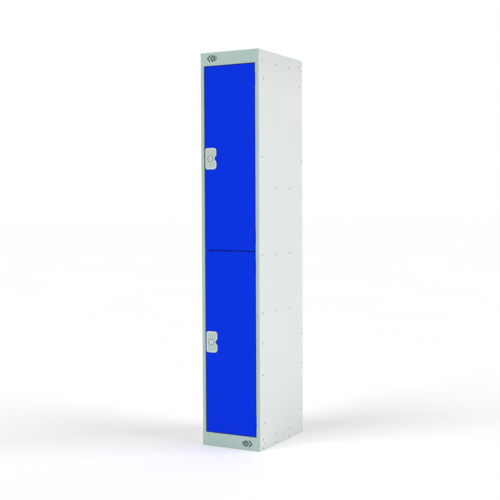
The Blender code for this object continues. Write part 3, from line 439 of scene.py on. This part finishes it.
def make_materials():
    """The finish of each material slot. The locks' and plates' finishes are made for each tier."""
    # Each finish's rubbed colour is a lighter edge tone, partly wear and partly a painted highlight.
    finishes = {
        # The frame and the panels share one light grey paint: the frame's darker, greener colour is painted
        # shade on the front faces, and the panels' paler colour is painted light as on the lit sides.
        "frame_paint": powder_coat(
            "frame_powder_coat_shaded", srgb(178, 200, 192), 0.48, 0.30, srgb(214, 226, 219), dust=0.03, height_shade_share=0.02
        ),
        "panel_paint": powder_coat(
            "panel_powder_coat_lit", srgb(228, 233, 231), 0.50, 0.30, srgb(243, 245, 243), mottle=0.015, height_shade_share=0.75
        ),
        "door_paint": powder_coat(
            "door_powder_coat", srgb(3, 51, 227), 0.46, 0.04, srgb(60, 104, 240), mottle=0.04
        ),
        "zinc_steel": zinc_plate("zinc_plated_steel", srgb(196, 198, 199), srgb(158, 161, 163), 0.38),
        "rivet_steel": zinc_plate("dull_rivet_steel", srgb(106, 110, 109), srgb(74, 78, 78), 0.50),
        "rubber": black_rubber("black_rubber"),
    }
    for tier in TIERS:
        plate_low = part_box(f"lock_plate_{tier}")[0]
        # The plate's rim colour is a painted highlight and its dish colour is painted shade.
        finishes[f"lock_plate_{tier}"] = moulded_plastic(
            f"moulded_plate_{tier}", srgb(187, 205, 197), srgb(210, 223, 216), srgb(112, 130, 121), plate_low
        )
        centre = joints[f"{tier}_lock_turn"]["pos_m"]
        finishes[f"bright_steel_{tier}"] = turned_chrome(f"turned_chrome_{tier}", centre)
    return finishes


# ------------------------------------------------------------ mesh building


def arc_points(before, corner, after, radius, steps):
    """The points of the arc that rounds one corner of a flat line."""
    to_before = (before - corner).normalized()
    to_after = (after - corner).normalized()
    half = to_before.angle(to_after) / 2
    centre = corner + (to_before + to_after).normalized() * radius / math.sin(half)
    reach = radius / math.tan(half)
    first = corner + to_before * reach - centre
    last = corner + to_after * reach - centre
    return [centre + first.slerp(last, step / steps) * radius for step in range(steps + 1)]


def rounded(corners, closed=True, steps=FOLD_STEPS):
    """A flat line through (x, y, radius) corners, each rounded by an arc of its own radius."""
    points = []
    last = len(corners) - 1
    for at, (x, y, radius) in enumerate(corners):
        if radius == 0 or (not closed and at in (0, last)):
            points.append((x, y))
            continue
        before = Vector((*corners[at - 1][:2], 0))
        after = Vector((*corners[(at + 1) % len(corners)][:2], 0))
        arc = arc_points(before, Vector((x, y, 0)), after, radius, steps)
        points.extend((point.x, point.y) for point in arc)
    return points


def add_box(shape, low, high):
    low = Vector(low)
    high = Vector(high)
    made = bmesh.ops.create_cube(shape, size=1.0)["verts"]
    bmesh.ops.scale(shape, vec=high - low, verts=made)
    bmesh.ops.translate(shape, vec=(low + high) / 2, verts=made)


def add_prism(shape, outline, front, back):
    """A closed (x, z) outline drawn out from one plane to another along Y."""
    near = [shape.verts.new((x, front, z)) for x, z in outline]
    far = [shape.verts.new((x, back, z)) for x, z in outline]
    shape.faces.new(near)
    shape.faces.new(far[::-1])
    for at in range(len(outline)):
        after = (at + 1) % len(outline)
        shape.faces.new((near[after], near[at], far[at], far[after]))


def add_turned(shape, profile, origin, direction, steps=48, closed=False):
    """A turned form: its profile is (radius, distance along the direction) pairs."""
    turn = Vector(direction).to_track_quat("Z", "Y").to_matrix()
    origin = Vector(origin)
    rings = []
    for radius, along in profile:
        ring = []
        for step in range(steps if radius > 0 else 1):
            angle = 2 * math.pi * step / steps
            point = Vector((radius * math.cos(angle), radius * math.sin(angle), along))
            ring.append(shape.verts.new(origin + turn @ point))
        rings.append(ring)
    pairs = list(zip(rings, rings[1:]))
    if closed:
        pairs.append((rings[-1], rings[0]))
    for upper, lower in pairs:
        for step in range(steps):
            corners = [
                upper[step % len(upper)],
                upper[(step + 1) % len(upper)],
                lower[(step + 1) % len(lower)],
                lower[step % len(lower)],
            ]
            shape.faces.new(list(dict.fromkeys(corners)))


def add_bar(shape, radius, start, end, steps=48):
    """A plain round bar between two points."""
    start = Vector(start)
    length = (Vector(end) - start).length
    profile = [(0, 0), (radius, 0), (radius, length), (0, length)]
    add_turned(shape, profile, start, Vector(end) - start, steps)


def to_mesh(shape, name):
    bmesh.ops.recalc_face_normals(shape, faces=shape.faces)
    mesh = bpy.data.meshes.new(name)
    shape.to_mesh(mesh)
    shape.free()
    return mesh


def to_object(shape, name):
    """A working object with the shape's mesh."""
    thing = bpy.data.objects.new(name, to_mesh(shape, name))
    bpy.context.scene.collection.objects.link(thing)
    return thing


def settle(thing, tools=()):
    """The object's mesh as its modifiers leave it. The object and its tools are removed."""
    bpy.context.view_layer.update()
    graph = bpy.context.evaluated_depsgraph_get()
    mesh = bpy.data.meshes.new_from_object(thing.evaluated_get(graph), depsgraph=graph)
    for used in (thing, *tools):
        bpy.data.objects.remove(used)
    return mesh


def combine(thing, tool, operation):
    boolean = thing.modifiers.new(tool.name, "BOOLEAN")
    boolean.operation = operation
    boolean.object = tool
    boolean.solver = "EXACT"


def thicken(thing, thickness):
    solid = thing.modifiers.new("sheet", "SOLIDIFY")
    solid.thickness = thickness
    solid.offset = -1
    solid.use_even_offset = True


def soften(thing, width, segments, angle=50):
    bevel = thing.modifiers.new("soft_edges", "BEVEL")
    bevel.width = width
    bevel.segments = segments
    bevel.limit_method = "ANGLE"
    bevel.angle_limit = math.radians(angle)
    bevel.use_clamp_overlap = True


def add_piece(name, mesh, material, body, stands_for=(), sharp=35):
    """A finished piece: shaded so that flats stay flat, riding on its body, in place of its CAD nodes."""
    mesh.name = name
    mesh.materials.clear()
    mesh.materials.append(material)
    mesh.shade_smooth()
    mesh.set_sharp_from_angle(angle=math.radians(sharp))
    piece = bpy.data.objects.new(name, mesh)
    bpy.context.scene.collection.objects.link(piece)
    flats = piece.modifiers.new("flat_faces", "WEIGHTED_NORMAL")
    flats.keep_sharp = True
    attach(piece, body)
    if stands_for:
        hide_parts(*stands_for)
    return piece


# ------------------------------------------------------------------ carcass


def frame_rings(low, high, opening_half, opening_low, opening_high, stop_face):
    """The frame's section, as rings of (half width, low z, high z, y), from the returns to the stop."""
    radius = FOLD_RADIUS
    turns = [math.radians(90) * step / FOLD_STEPS for step in range(FOLD_STEPS + 1)]
    outside = (high.x, low.z, high.z)
    opening = (opening_half, opening_low, opening_high)
    rings = [(*outside, high.y)]
    for turn in turns:
        inset = radius * (1 - math.cos(turn))
        rings.append(inset_ring(outside, inset, low.y + radius * (1 - math.sin(turn))))
    for turn in turns:
        inset = -radius * (1 - math.sin(turn))
        rings.append(inset_ring(opening, inset, low.y + radius * (1 - math.cos(turn))))
    for turn in turns:
        inset = radius * (1 - math.cos(turn))
        rings.append(inset_ring(opening, inset, stop_face - radius * (1 - math.sin(turn))))
    rings.append((opening_half - SIDE_STOP, opening_low + RAIL_STOP, opening_high - RAIL_STOP, stop_face))
    return rings


def inset_ring(ring, inset, y):
    half, low, high = ring
    return (half - inset, low + inset, high - inset, y)


def chevron(tip_x, z, side):
    """The outline of one chevron slot, as rounded (x, z) points."""
    half = VENT_HEIGHT / 2
    arm_x = tip_x - side * VENT_ARM
    wide = -side * VENT_SLOT * math.hypot(half, VENT_ARM) / half
    corners = [
        (tip_x, z),
        (arm_x, z + half),
        (arm_x + wide, z + half),
        (tip_x + wide, z),
        (arm_x + wide, z - half),
        (arm_x, z - half),
    ]
    return rounded([(x, corner_z, VENT_CORNER) for x, corner_z in corners], steps=4)


def add_vent(shape, tip_x, z, side, front):
    """The cutters of one vent: two chevrons that point to one side, and seven holes behind them."""
    near = front - OVERSHOOT
    far = front + 2 * SHEET
    for number in range(2):
        add_prism(shape, chevron(tip_x - side * VENT_PITCH * number, z, side), near, far)
    centre_x = tip_x - side * (2 * VENT_PITCH + VENT_ARM / 2 + VENT_HOLE_PITCH * VENT_ROSE_GAP)
    places = [(centre_x, z)]
    for number in range(6):
        angle = math.radians(60 * number + 30)
        places.append(
            (centre_x + VENT_HOLE_PITCH * math.cos(angle), z + VENT_HOLE_PITCH * math.sin(angle))
        )
    for x, hole_z in places:
        add_bar(shape, VENT_HOLE_RADIUS, (x, near, hole_z), (x, far, hole_z), 40)


def add_hinge_notches(shape, tier, low_x, high_x, front):
    """The cutters that leave room for a door's two hinge barrels."""
    axis_y = joints[f"{tier}_door_hinge"]["pos_m"][1]
    for level in ("top", "bottom"):
        low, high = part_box(f"hinge_frame_leaf_{tier}_{level}")
        add_box(
            shape,
            (low_x, front - OVERSHOOT, low.z - NOTCH_ROOM),
            (high_x, axis_y + NOTCH_DEPTH, high.z + NOTCH_ROOM),
        )


def make_frame(finishes):
    """The welded front frame, folded from one section that runs round the opening."""
    low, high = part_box("front_frame")
    hinge = Vector(joints["upper_door_hinge"]["pos_m"])
    door_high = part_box("door_skin_upper")[1]
    opening_half = 2 * hinge.x - door_high.x
    opening_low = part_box("base_panel")[1].z
    opening_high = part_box("roof_panel")[0].z
    stop_face = door_high.y + STOP_CLEARANCE
    shape = bmesh.new()
    loops = []
    for half, low_z, high_z, y in frame_rings(low, high, opening_half, opening_low, opening_high, stop_face):
        corners = ((-half, low_z), (half, low_z), (half, high_z), (-half, high_z))
        loops.append([shape.verts.new((x, y, z)) for x, z in corners])
    for outer, inner in zip(loops, loops[1:]):
        for at in range(4):
            after = (at + 1) % 4
            shape.faces.new((outer[at], outer[after], inner[after], inner[at]))
    mesh = bpy.data.meshes.new("frame_section")
    shape.to_mesh(mesh)
    shape.free()
    section = bpy.data.objects.new("frame_section", mesh)
    bpy.context.scene.collection.objects.link(section)
    thicken(section, SHEET)

    tools = bmesh.new()
    top_tip = cad_low.x + VENT_FROM_SIDE["top"]
    bottom_tip = cad_high.x - VENT_FROM_SIDE["bottom"]
    add_vent(tools, top_tip, high.z - VENT_FROM_END["top"], -1, low.y)
    add_vent(tools, bottom_tip, low.z + VENT_FROM_END["bottom"], 1, low.y)
    for tier in TIERS:
        add_hinge_notches(tools, tier, hinge.x, opening_half + FRAME_NOTCH, low.y)
        for level in ("top", "bottom"):
            buffer_low, buffer_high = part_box(f"door_buffer_{tier}_{level}")
            centre = (buffer_low + buffer_high) / 2
            near = (centre.x, stop_face - OVERSHOOT, centre.z)
            add_bar(tools, BUFFER_HOLE, near, (centre.x, stop_face + OVERSHOOT, centre.z), 32)
    for side, sign in SIDES.items():
        rivet_low, rivet_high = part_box(f"shelf_rivet_{side}_front")
        centre = (rivet_low + rivet_high) / 2
        near = (sign * (high.x - OVERSHOOT), centre.y, centre.z)
        add_bar(tools, RIVET_HOLE, near, (sign * (high.x + OVERSHOOT), centre.y, centre.z), 32)
    tool = to_object(tools, "frame_cutters")
    combine(section, tool, "DIFFERENCE")
    mesh = settle(section, (tool,))
    add_piece("front_frame_folded", mesh, finishes["frame_paint"], "carcass", ["front_frame"])


def add_rivet(shape, place, sign, backed):
    """A blind rivet through a side panel: its head outside and its tail inside."""
    head = cad_high.x - abs(place[0])
    crown = [
        (0, head - RIVET_DIMPLE_DEPTH),
        (RIVET_DIMPLE, head - RIVET_DIMPLE_DEPTH),
        (RIVET_DIMPLE, head * 0.94),
        (RIVET_DIMPLE * 1.25, head),
        (RIVET_RADIUS * 0.62, head * 0.90),
        (RIVET_RADIUS * 0.84, head * 0.66),
        (RIVET_RADIUS * 0.96, head * 0.36),
        (RIVET_RADIUS, 0),
        (0, 0),
    ]
    add_turned(shape, crown, place, (sign, 0, 0), 28)
    inside = -(SHEET * 2 + CLEARANCE) if backed else -SHEET
    tail = [
        (0, inside),
        (RIVET_SHANK * 1.1, inside),
        (RIVET_SHANK * 1.6, inside - RIVET_TAIL * 0.3),
        (RIVET_SHANK * 1.45, inside - RIVET_TAIL * 0.6),
        (RIVET_SHANK * 0.95, inside - RIVET_TAIL * 0.85),
        (RIVET_SHANK * 0.5, inside - RIVET_TAIL),
        (0, inside - RIVET_TAIL),
    ]
    add_turned(shape, tail, place, (sign, 0, 0), 20)


def make_rivets(finishes):
    """The rows of rivets down both sides, and the shelf's rivets in place of their CAD nodes."""
    zinc = finishes["rivet_steel"]
    for side, sign in SIDES.items():
        panel_low, panel_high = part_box(f"side_panel_{side}")
        face = panel_high.x if sign > 0 else panel_low.x
        frame_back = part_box("front_frame")[1].y
        flange_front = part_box("back_panel")[1].y - BACK_FLANGE
        for row, (z, places) in RIVET_ROWS.items():
            shape = bmesh.new()
            for y in places:
                backed = row in BACKED_ROWS or y < frame_back or y > flange_front
                add_rivet(shape, (face, y, z), sign, backed)
            name = f"side_rivets_{side}_{row}"
            add_piece(name, to_mesh(shape, name), zinc, "carcass")
        for place in ("front", "middle", "back"):
            node = f"shelf_rivet_{side}_{place}"
            low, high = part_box(node)
            centre = (low + high) / 2
            shape = bmesh.new()
            add_rivet(shape, (face, centre.y, centre.z), sign, True)
            inner_x = low.x if sign > 0 else high.x
            add_bar(shape, RIVET_SHANK, (face, centre.y, centre.z), (inner_x, centre.y, centre.z), 24)
            name = f"{node}_blind"
            add_piece(name, to_mesh(shape, name), zinc, "carcass", [node])


def make_hooks(finishes):
    """Double coat hooks of folded strip, with narrowed ends and softened edges."""
    for tier in TIERS:
        low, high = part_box(f"coat_hook_{tier}")
        middle_y = (low.y + high.y) / 2
        half_width = (high.y - low.y) / 2
        top = high.z
        tip_x = high.x
        bend_radius = (tip_x - HOOK_BRIDGE) / 2
        elbow_z = low.z + bend_radius
        line = [(tip_x, elbow_z + HOOK_TIP_RISE)]
        for step in range(HOOK_BEND_STEPS + 1):
            angle = -math.pi * step / HOOK_BEND_STEPS
            x = tip_x - bend_radius + bend_radius * math.cos(angle)
            line.append((x, elbow_z + bend_radius * math.sin(angle)))
        neck_x, neck_z = line[-1]
        bridge = [
            (neck_x, neck_z, 0),
            (neck_x, top, HOOK_CORNER),
            (-neck_x, top, HOOK_CORNER),
            (-neck_x, neck_z, 0),
        ]
        shape = bmesh.new()
        corner = rounded(bridge, closed=False, steps=HOOK_CORNER_STEPS)
        full = line + corner[1:-1] + [(-x, z) for x, z in line[::-1]]
        count = len(full)
        near = []
        far = []
        for at, (x, z) in enumerate(full):
            from_end = min(at, count - 1 - at)
            share = HOOK_END_SHARE if from_end == 0 else 1.0
            near.append(shape.verts.new((x, middle_y - half_width * share, z)))
            far.append(shape.verts.new((x, middle_y + half_width * share, z)))
        for at in range(count - 1):
            shape.faces.new((near[at], near[at + 1], far[at + 1], far[at]))
        strip = to_object(shape, f"hook_strip_{tier}")
        solid = strip.modifiers.new("strip", "SOLIDIFY")
        solid.thickness = HOOK_STRIP
        solid.offset = -1 if strip.data.polygons[0].normal.x < 0 else 1
        solid.use_even_offset = True
        soften(strip, HOOK_EDGE, 2)
        mesh = settle(strip)
        node = f"coat_hook_{tier}"
        add_piece(f"{node}_strip", mesh, finishes["zinc_steel"], "carcass", [node])


def make_buffers(finishes):
    """The rubber buffers on the stop lip."""
    stop_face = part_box("door_skin_upper")[1].y + STOP_CLEARANCE
    for tier in TIERS:
        for level in ("top", "bottom"):
            node = f"door_buffer_{tier}_{level}"
            low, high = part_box(node)
            nose = stop_face - low.y
            tail = high.y - stop_face
            radius = (high.x - low.x) / 2
            shank = BUFFER_HOLE - CLEARANCE
            profile = rounded(
                [
                    (0, nose, 0),
                    (radius * 0.80, nose, BUFFER_NOSE_ROUND),
                    (radius, CLEARANCE, BUFFER_ROUND),
                    (shank, CLEARANCE, 0),
                    (shank, -SHEET - CLEARANCE, 0),
                    (radius * 0.75, -SHEET - CLEARANCE * 1.5, BUFFER_BARB_ROUND),
                    (radius * 0.40, -tail, BUFFER_ROUND),
                    (0, -tail, 0),
                ],
                closed=False,
                steps=5,
            )
            shape = bmesh.new()
            centre = (low + high) / 2
            add_turned(shape, profile, (centre.x, stop_face, centre.z), (0, -1, 0), 36)
            name = f"{node}_moulded"
            add_piece(name, to_mesh(shape, name), finishes["rubber"], "carcass", [node])


# -------------------------------------------------------------------- doors


def make_door_pan(tier, finishes):
    """The door: a front sheet with rounded, returned edges and a lip round its open back."""
    low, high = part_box(f"door_skin_{tier}")
    hinge_x = joints[f"{tier}_door_hinge"]["pos_m"][0]
    lock = Vector(joints[f"{tier}_lock_turn"]["pos_m"])
    shape = bmesh.new()
    add_box(shape, low, high)
    pan = to_object(shape, f"pan_block_{tier}")
    soften(pan, DOOR_EDGE_RADIUS, DOOR_EDGE_STEPS)
    tools = []
    inside = bmesh.new()
    wall = Vector((SHEET, SHEET, SHEET))
    add_box(inside, low + wall, high - wall)
    tools.append(to_object(inside, f"pan_inside_{tier}"))
    soften(tools[0], DOOR_EDGE_RADIUS - SHEET / 2, 4)
    opening = bmesh.new()
    add_box(
        opening,
        (low.x + DOOR_LIP, (low.y + high.y) / 2, low.z + DOOR_LIP),
        (high.x - DOOR_LIP, high.y + OVERSHOOT, high.z - DOOR_LIP),
    )
    tools.append(to_object(opening, f"pan_opening_{tier}"))
    notches = bmesh.new()
    add_hinge_notches(notches, tier, high.x - DOOR_NOTCH, hinge_x, low.y)
    near = (lock.x, low.y - OVERSHOOT, lock.z)
    far = (lock.x, low.y + 2 * SHEET, lock.z)
    add_bar(notches, HOUSING_RADIUS + CLEARANCE, near, far)
    tools.append(to_object(notches, f"pan_notches_{tier}"))
    for tool in tools:
        combine(pan, tool, "DIFFERENCE")
    mesh = settle(pan, tools)
    node = f"door_skin_{tier}"
    add_piece(f"{node}_pressed", mesh, finishes["door_paint"], f"{tier}_door", [node])


def make_hinge_leaf(node, body, side, spans, finishes):
    """One leaf of a hinge, with its knuckles rolled round the bore."""
    low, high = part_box(node)
    tier = "upper" if "upper" in node else "lower"
    axis = Vector(joints[f"{tier}_door_hinge"]["pos_m"])
    near_x = axis.x + side * CLEARANCE
    low_x, high_x = sorted((near_x, near_x + side * LEAF_THICKNESS))
    neck_y = axis.y + KNUCKLE_RADIUS + CLEARANCE
    plate = bmesh.new()
    add_box(plate, (low_x, neck_y, low.z), (high_x, high.y, high.z))
    leaf = to_object(plate, f"{node}_plate")
    joined = []
    necks = bmesh.new()
    knuckles = bmesh.new()
    for start, end in spans:
        add_box(
            necks,
            (low_x, axis.y + KNUCKLE_BORE + NECK_INSET, start + NECK_INSET),
            (high_x, neck_y + SHEET / 2, end - NECK_INSET),
        )
        add_bar(knuckles, KNUCKLE_RADIUS, (axis.x, axis.y, start), (axis.x, axis.y, end), KNUCKLE_STEPS)
    joined.append(to_object(necks, f"{node}_necks"))
    joined.append(to_object(knuckles, f"{node}_knuckles"))
    for part in joined:
        combine(leaf, part, "UNION")
    bore = bmesh.new()
    bore_start = (axis.x, axis.y, low.z - OVERSHOOT)
    add_bar(bore, KNUCKLE_BORE, bore_start, (axis.x, axis.y, high.z + OVERSHOOT), KNUCKLE_STEPS)
    cutter = to_object(bore, f"{node}_bore")
    combine(leaf, cutter, "DIFFERENCE")
    soften(leaf, LEAF_EDGE, 2, angle=60)
    mesh = settle(leaf, (*joined, cutter))
    add_piece(f"{node}_rolled", mesh, finishes["door_paint"], body, [node])


def make_hinges(tier, finishes):
    """Both hinges of a door: the frame's leaf, the door's leaf and the pin of each."""
    axis = Vector(joints[f"{tier}_door_hinge"]["pos_m"])
    for level in ("top", "bottom"):
        low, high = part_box(f"hinge_frame_leaf_{tier}_{level}")
        frame_spans = [
            (low.z, low.z + FRAME_KNUCKLE - CLEARANCE),
            (high.z - FRAME_KNUCKLE + CLEARANCE, high.z),
        ]
        door_spans = [(low.z + FRAME_KNUCKLE, high.z - FRAME_KNUCKLE)]
        make_hinge_leaf(f"hinge_frame_leaf_{tier}_{level}", "carcass", 1, frame_spans, finishes)
        make_hinge_leaf(f"hinge_door_leaf_{tier}_{level}", f"{tier}_door", -1, door_spans, finishes)
        node = f"hinge_pin_{tier}_{level}"
        pin_low, pin_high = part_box(node)
        head = high.z + CLEARANCE
        profile = rounded(
            [
                (0, pin_high.z, 0),
                (PIN_HEAD_RADIUS * 0.8, pin_high.z, PIN_CROWN),
                (PIN_HEAD_RADIUS, head + PIN_CROWN, PIN_ROUND),
                (PIN_HEAD_RADIUS, head, 0),
                (PIN_RADIUS, head, 0),
                (PIN_RADIUS, low.z, PIN_TAIL_ROUND),
                (0, pin_low.z, 0),
            ],
            closed=False,
            steps=5,
        )
        shape = bmesh.new()
        add_turned(shape, profile, (axis.x, axis.y, 0), (0, 0, 1), 32)
        name = f"{node}_turned"
        add_piece(name, to_mesh(shape, name), finishes["zinc_steel"], "carcass", [node])


def plate_outline(low, high, inset):
    """The lock plate's outline: straight at the left, with a rounded V notch in its right edge."""
    middle = (low.z + high.z) / 2
    left = low.x + inset
    right = high.x - inset * PLATE_RIGHT_SHRINK
    half = (high.z - low.z) / 2 - inset
    notch_half = PLATE_NOTCH_HALF + inset * PLATE_NOTCH_GROWTH
    corner = PLATE_CORNER - inset * PLATE_CORNER_SHRINK
    right_corner = corner * PLATE_RIGHT_CORNER
    return rounded(
        [
            (left, middle - half, corner),
            (right, middle - half, right_corner),
            (right, middle - notch_half, PLATE_NOTCH_SHOULDER),
            (right - PLATE_NOTCH_DEPTH, middle, PLATE_NOTCH_TIP),
            (right, middle + notch_half, PLATE_NOTCH_SHOULDER),
            (right, middle + half, right_corner),
            (left, middle + half, corner),
        ],
        steps=10,
    )


def make_lock_plate(tier, finishes):
    """The moulded plate round the lock, with a rolled rim, a sunk field and a round dish."""
    node = f"lock_plate_{tier}"
    low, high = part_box(node)
    lock = Vector(joints[f"{tier}_lock_turn"]["pos_m"])
    block = bmesh.new()
    add_prism(block, plate_outline(low, high, 0), low.y, high.y)
    plate = to_object(block, f"plate_block_{tier}")
    soften(plate, PLATE_EDGE_ROUND, 4)
    field = bmesh.new()
    field_back = low.y + PLATE_FIELD_DEPTH
    add_prism(field, plate_outline(low, high, PLATE_RIM), low.y - OVERSHOOT, field_back)
    holes = bmesh.new()
    dish_back = high.y - DISH_FLOOR
    add_bar(holes, DISH_RADIUS, (lock.x, low.y - OVERSHOOT, lock.z), (lock.x, dish_back, lock.z), 64)
    through = bmesh.new()
    hole_end = (lock.x, high.y + OVERSHOOT, lock.z)
    add_bar(through, HOUSING_RADIUS + CLEARANCE, (lock.x, low.y - OVERSHOOT, lock.z), hole_end)
    tools = [
        to_object(field, f"plate_field_{tier}"),
        to_object(holes, f"plate_dish_{tier}"),
        to_object(through, f"plate_hole_{tier}"),
    ]
    soften(tools[0], PLATE_FIELD_DEPTH / 3, 4, angle=70)
    for tool in tools:
        combine(plate, tool, "DIFFERENCE")
    mesh = settle(plate, tools)
    finish = finishes[f"lock_plate_{tier}"]
    add_piece(f"{node}_moulded", mesh, finish, f"{tier}_door", [node])


def make_lock(tier, finishes):
    """The cam lock's visible parts: the flanged housing and the plug with its keyway."""
    lock = Vector(joints[f"{tier}_lock_turn"]["pos_m"])
    chrome = finishes[f"bright_steel_{tier}"]
    node = f"lock_housing_{tier}"
    low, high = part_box(node)
    flange = (high.x - low.x) / 2
    bore = PLUG_RADIUS + CLEARANCE
    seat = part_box(f"lock_plate_{tier}")[1].y - DISH_FLOOR - CLEARANCE
    profile = rounded(
        [
            (bore, low.y, HOUSING_BORE_ROUND),
            (flange - FLANGE_SLOPE, low.y, HOUSING_SLOPE_ROUND),
            (flange, low.y + FLANGE_DROP, HOUSING_RIM_ROUND),
            (flange, seat, HOUSING_SEAT_ROUND),
            (HOUSING_RADIUS, seat, 0),
            (HOUSING_RADIUS, high.y, HOUSING_END_ROUND),
            (bore, high.y, HOUSING_BORE_ROUND),
        ],
        steps=5,
    )
    shape = bmesh.new()
    add_turned(shape, profile, (lock.x, 0, lock.z), (0, 1, 0), 64, closed=True)
    name = f"{node}_turned"
    add_piece(name, to_mesh(shape, name), chrome, f"{tier}_door", [node])

    node = f"lock_plug_{tier}"
    low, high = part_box(node)
    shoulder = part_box(f"door_skin_{tier}")[1].y + PLUG_SHOULDER
    profile = rounded(
        [
            (0, low.y, 0),
            (PLUG_RADIUS, low.y, PLUG_FACE_ROUND),
            (PLUG_RADIUS, shoulder, PLUG_ROUND),
            (PLUG_TAIL_RADIUS, shoulder, PLUG_ROUND),
            (PLUG_TAIL_RADIUS, high.y, PLUG_ROUND),
            (0, high.y, 0),
        ],
        closed=False,
        steps=5,
    )
    shape = bmesh.new()
    add_turned(shape, profile, (lock.x, 0, lock.z), (0, 1, 0), 64)
    plug = to_object(shape, f"plug_block_{tier}")
    key = bmesh.new()
    half_width = KEYWAY_HALF_WIDTH
    ward_x = half_width * 0.55
    corners = [
        (-half_width, -1.0, KEYWAY_CORNER),
        (half_width, -1.0, KEYWAY_CORNER),
        (half_width, -0.35, KEYWAY_WARD_CORNER),
        (ward_x, -0.20, KEYWAY_WARD_CORNER),
        (ward_x, 0.15, KEYWAY_WARD_CORNER),
        (half_width, 0.30, KEYWAY_WARD_CORNER),
        (half_width, 1.0, KEYWAY_CORNER),
        (-half_width, 1.0, KEYWAY_CORNER),
    ]
    outline = rounded(
        [(lock.x + x, lock.z + share * KEYWAY_HALF_HEIGHT, radius) for x, share, radius in corners],
        steps=4,
    )
    add_prism(key, outline, low.y - OVERSHOOT, low.y + KEYWAY_DEPTH)
    cutter = to_object(key, f"keyway_{tier}")
    combine(plug, cutter, "DIFFERENCE")
    mesh = settle(plug, (cutter,))
    add_piece(f"{node}_cut", mesh, chrome, f"{tier}_lock", [node])


# ------------------------------------------------------------------- studio


def make_camera():
    """A long-lens camera to the right of the front, looking slightly down."""
    across = math.cos(VIEW_ELEVATION)
    back = Vector(
        (math.sin(VIEW_AZIMUTH) * across, -math.cos(VIEW_AZIMUTH) * across, math.sin(VIEW_ELEVATION))
    )
    right = Vector((0, 0, 1)).cross(back).normalized()
    up = back.cross(right)
    turned_right = right * math.cos(VIEW_ROLL) + up * math.sin(VIEW_ROLL)
    turned_up = up * math.cos(VIEW_ROLL) - right * math.sin(VIEW_ROLL)
    data = bpy.data.cameras.new("view_camera")
    data.lens = VIEW_LENS
    data.sensor_width = 36.0
    camera = bpy.data.objects.new("view_camera", data)
    bpy.context.scene.collection.objects.link(camera)
    place = VIEW_AIM + back * VIEW_DISTANCE
    turn = Matrix((turned_right, turned_up, back)).transposed().to_4x4()
    camera.matrix_world = Matrix.Translation(place) @ turn
    bpy.context.scene.camera = camera


def make_studio():
    """A pale floor that runs to the horizon, an even pale sky and two soft suns."""
    shape = bmesh.new()
    bmesh.ops.create_circle(shape, cap_ends=True, segments=96, radius=FLOOR_RADIUS)
    floor = bpy.data.objects.new("studio_floor", to_mesh(shape, "studio_floor"))
    floor.location = (0, 0, cad_low.z)
    bpy.context.scene.collection.objects.link(floor)
    floor.data.materials.append(studio_floor("pale_floor"))

    world = bpy.data.worlds.new("studio_sky")
    world.use_nodes = True
    tree = world.node_tree
    background = tree.nodes["Background"]
    background.inputs["Color"].default_value = (1, 1, 1, 1)
    seen = add_node(tree, "ShaderNodeLightPath").outputs["Is Camera Ray"]
    strength = remap(tree, seen, 0.0, 1.0, SKY_LIGHT, SKY_SEEN)
    tree.links.new(strength, background.inputs["Strength"])
    bpy.context.scene.world = world

    for name, sun in SUNS.items():
        data = bpy.data.lights.new(f"{name}_sun", "SUN")
        data.energy = sun["strength"]
        data.angle = math.radians(sun["spread"])
        lamp = bpy.data.objects.new(f"{name}_sun", data)
        azimuth = math.radians(sun["azimuth"])
        elevation = math.radians(sun["elevation"])
        across = math.cos(elevation)
        towards = Vector(
            (math.sin(azimuth) * across, -math.cos(azimuth) * across, math.sin(elevation))
        )
        lamp.rotation_euler = towards.to_track_quat("Z", "Y").to_euler()
        bpy.context.scene.collection.objects.link(lamp)
    bpy.context.scene.view_settings.view_transform = "Standard"


def paint_nodes(finishes):
    """Gives each CAD node that still shows the finish of its material slot."""
    finish_of = {
        "side_panel_left": "panel_paint",
        "side_panel_right": "panel_paint",
        "back_panel": "panel_paint",
        "roof_panel": "panel_paint",
        "base_panel": "panel_paint",
        "divider_shelf": "panel_paint",
    }
    for tier in TIERS:
        finish_of[f"door_stiffener_{tier}"] = "door_paint"
        for node in ("lock_nut", "lock_cam", "cam_screw"):
            finish_of[f"{node}_{tier}"] = "zinc_steel"
        for side in SIDES:
            finish_of[f"hook_rivet_{tier}_{side}"] = "zinc_steel"
    for node, slot in finish_of.items():
        piece = frame["nodes"][node]
        piece.data.materials.clear()
        piece.data.materials.append(finishes[slot])


make_camera()
make_studio()
made_finishes = make_materials()
paint_nodes(made_finishes)
make_frame(made_finishes)
make_rivets(made_finishes)
make_hooks(made_finishes)
make_buffers(made_finishes)
for door_tier in TIERS:
    make_door_pan(door_tier, made_finishes)
    make_hinges(door_tier, made_finishes)
    make_lock_plate(door_tier, made_finishes)
    make_lock(door_tier, made_finishes)
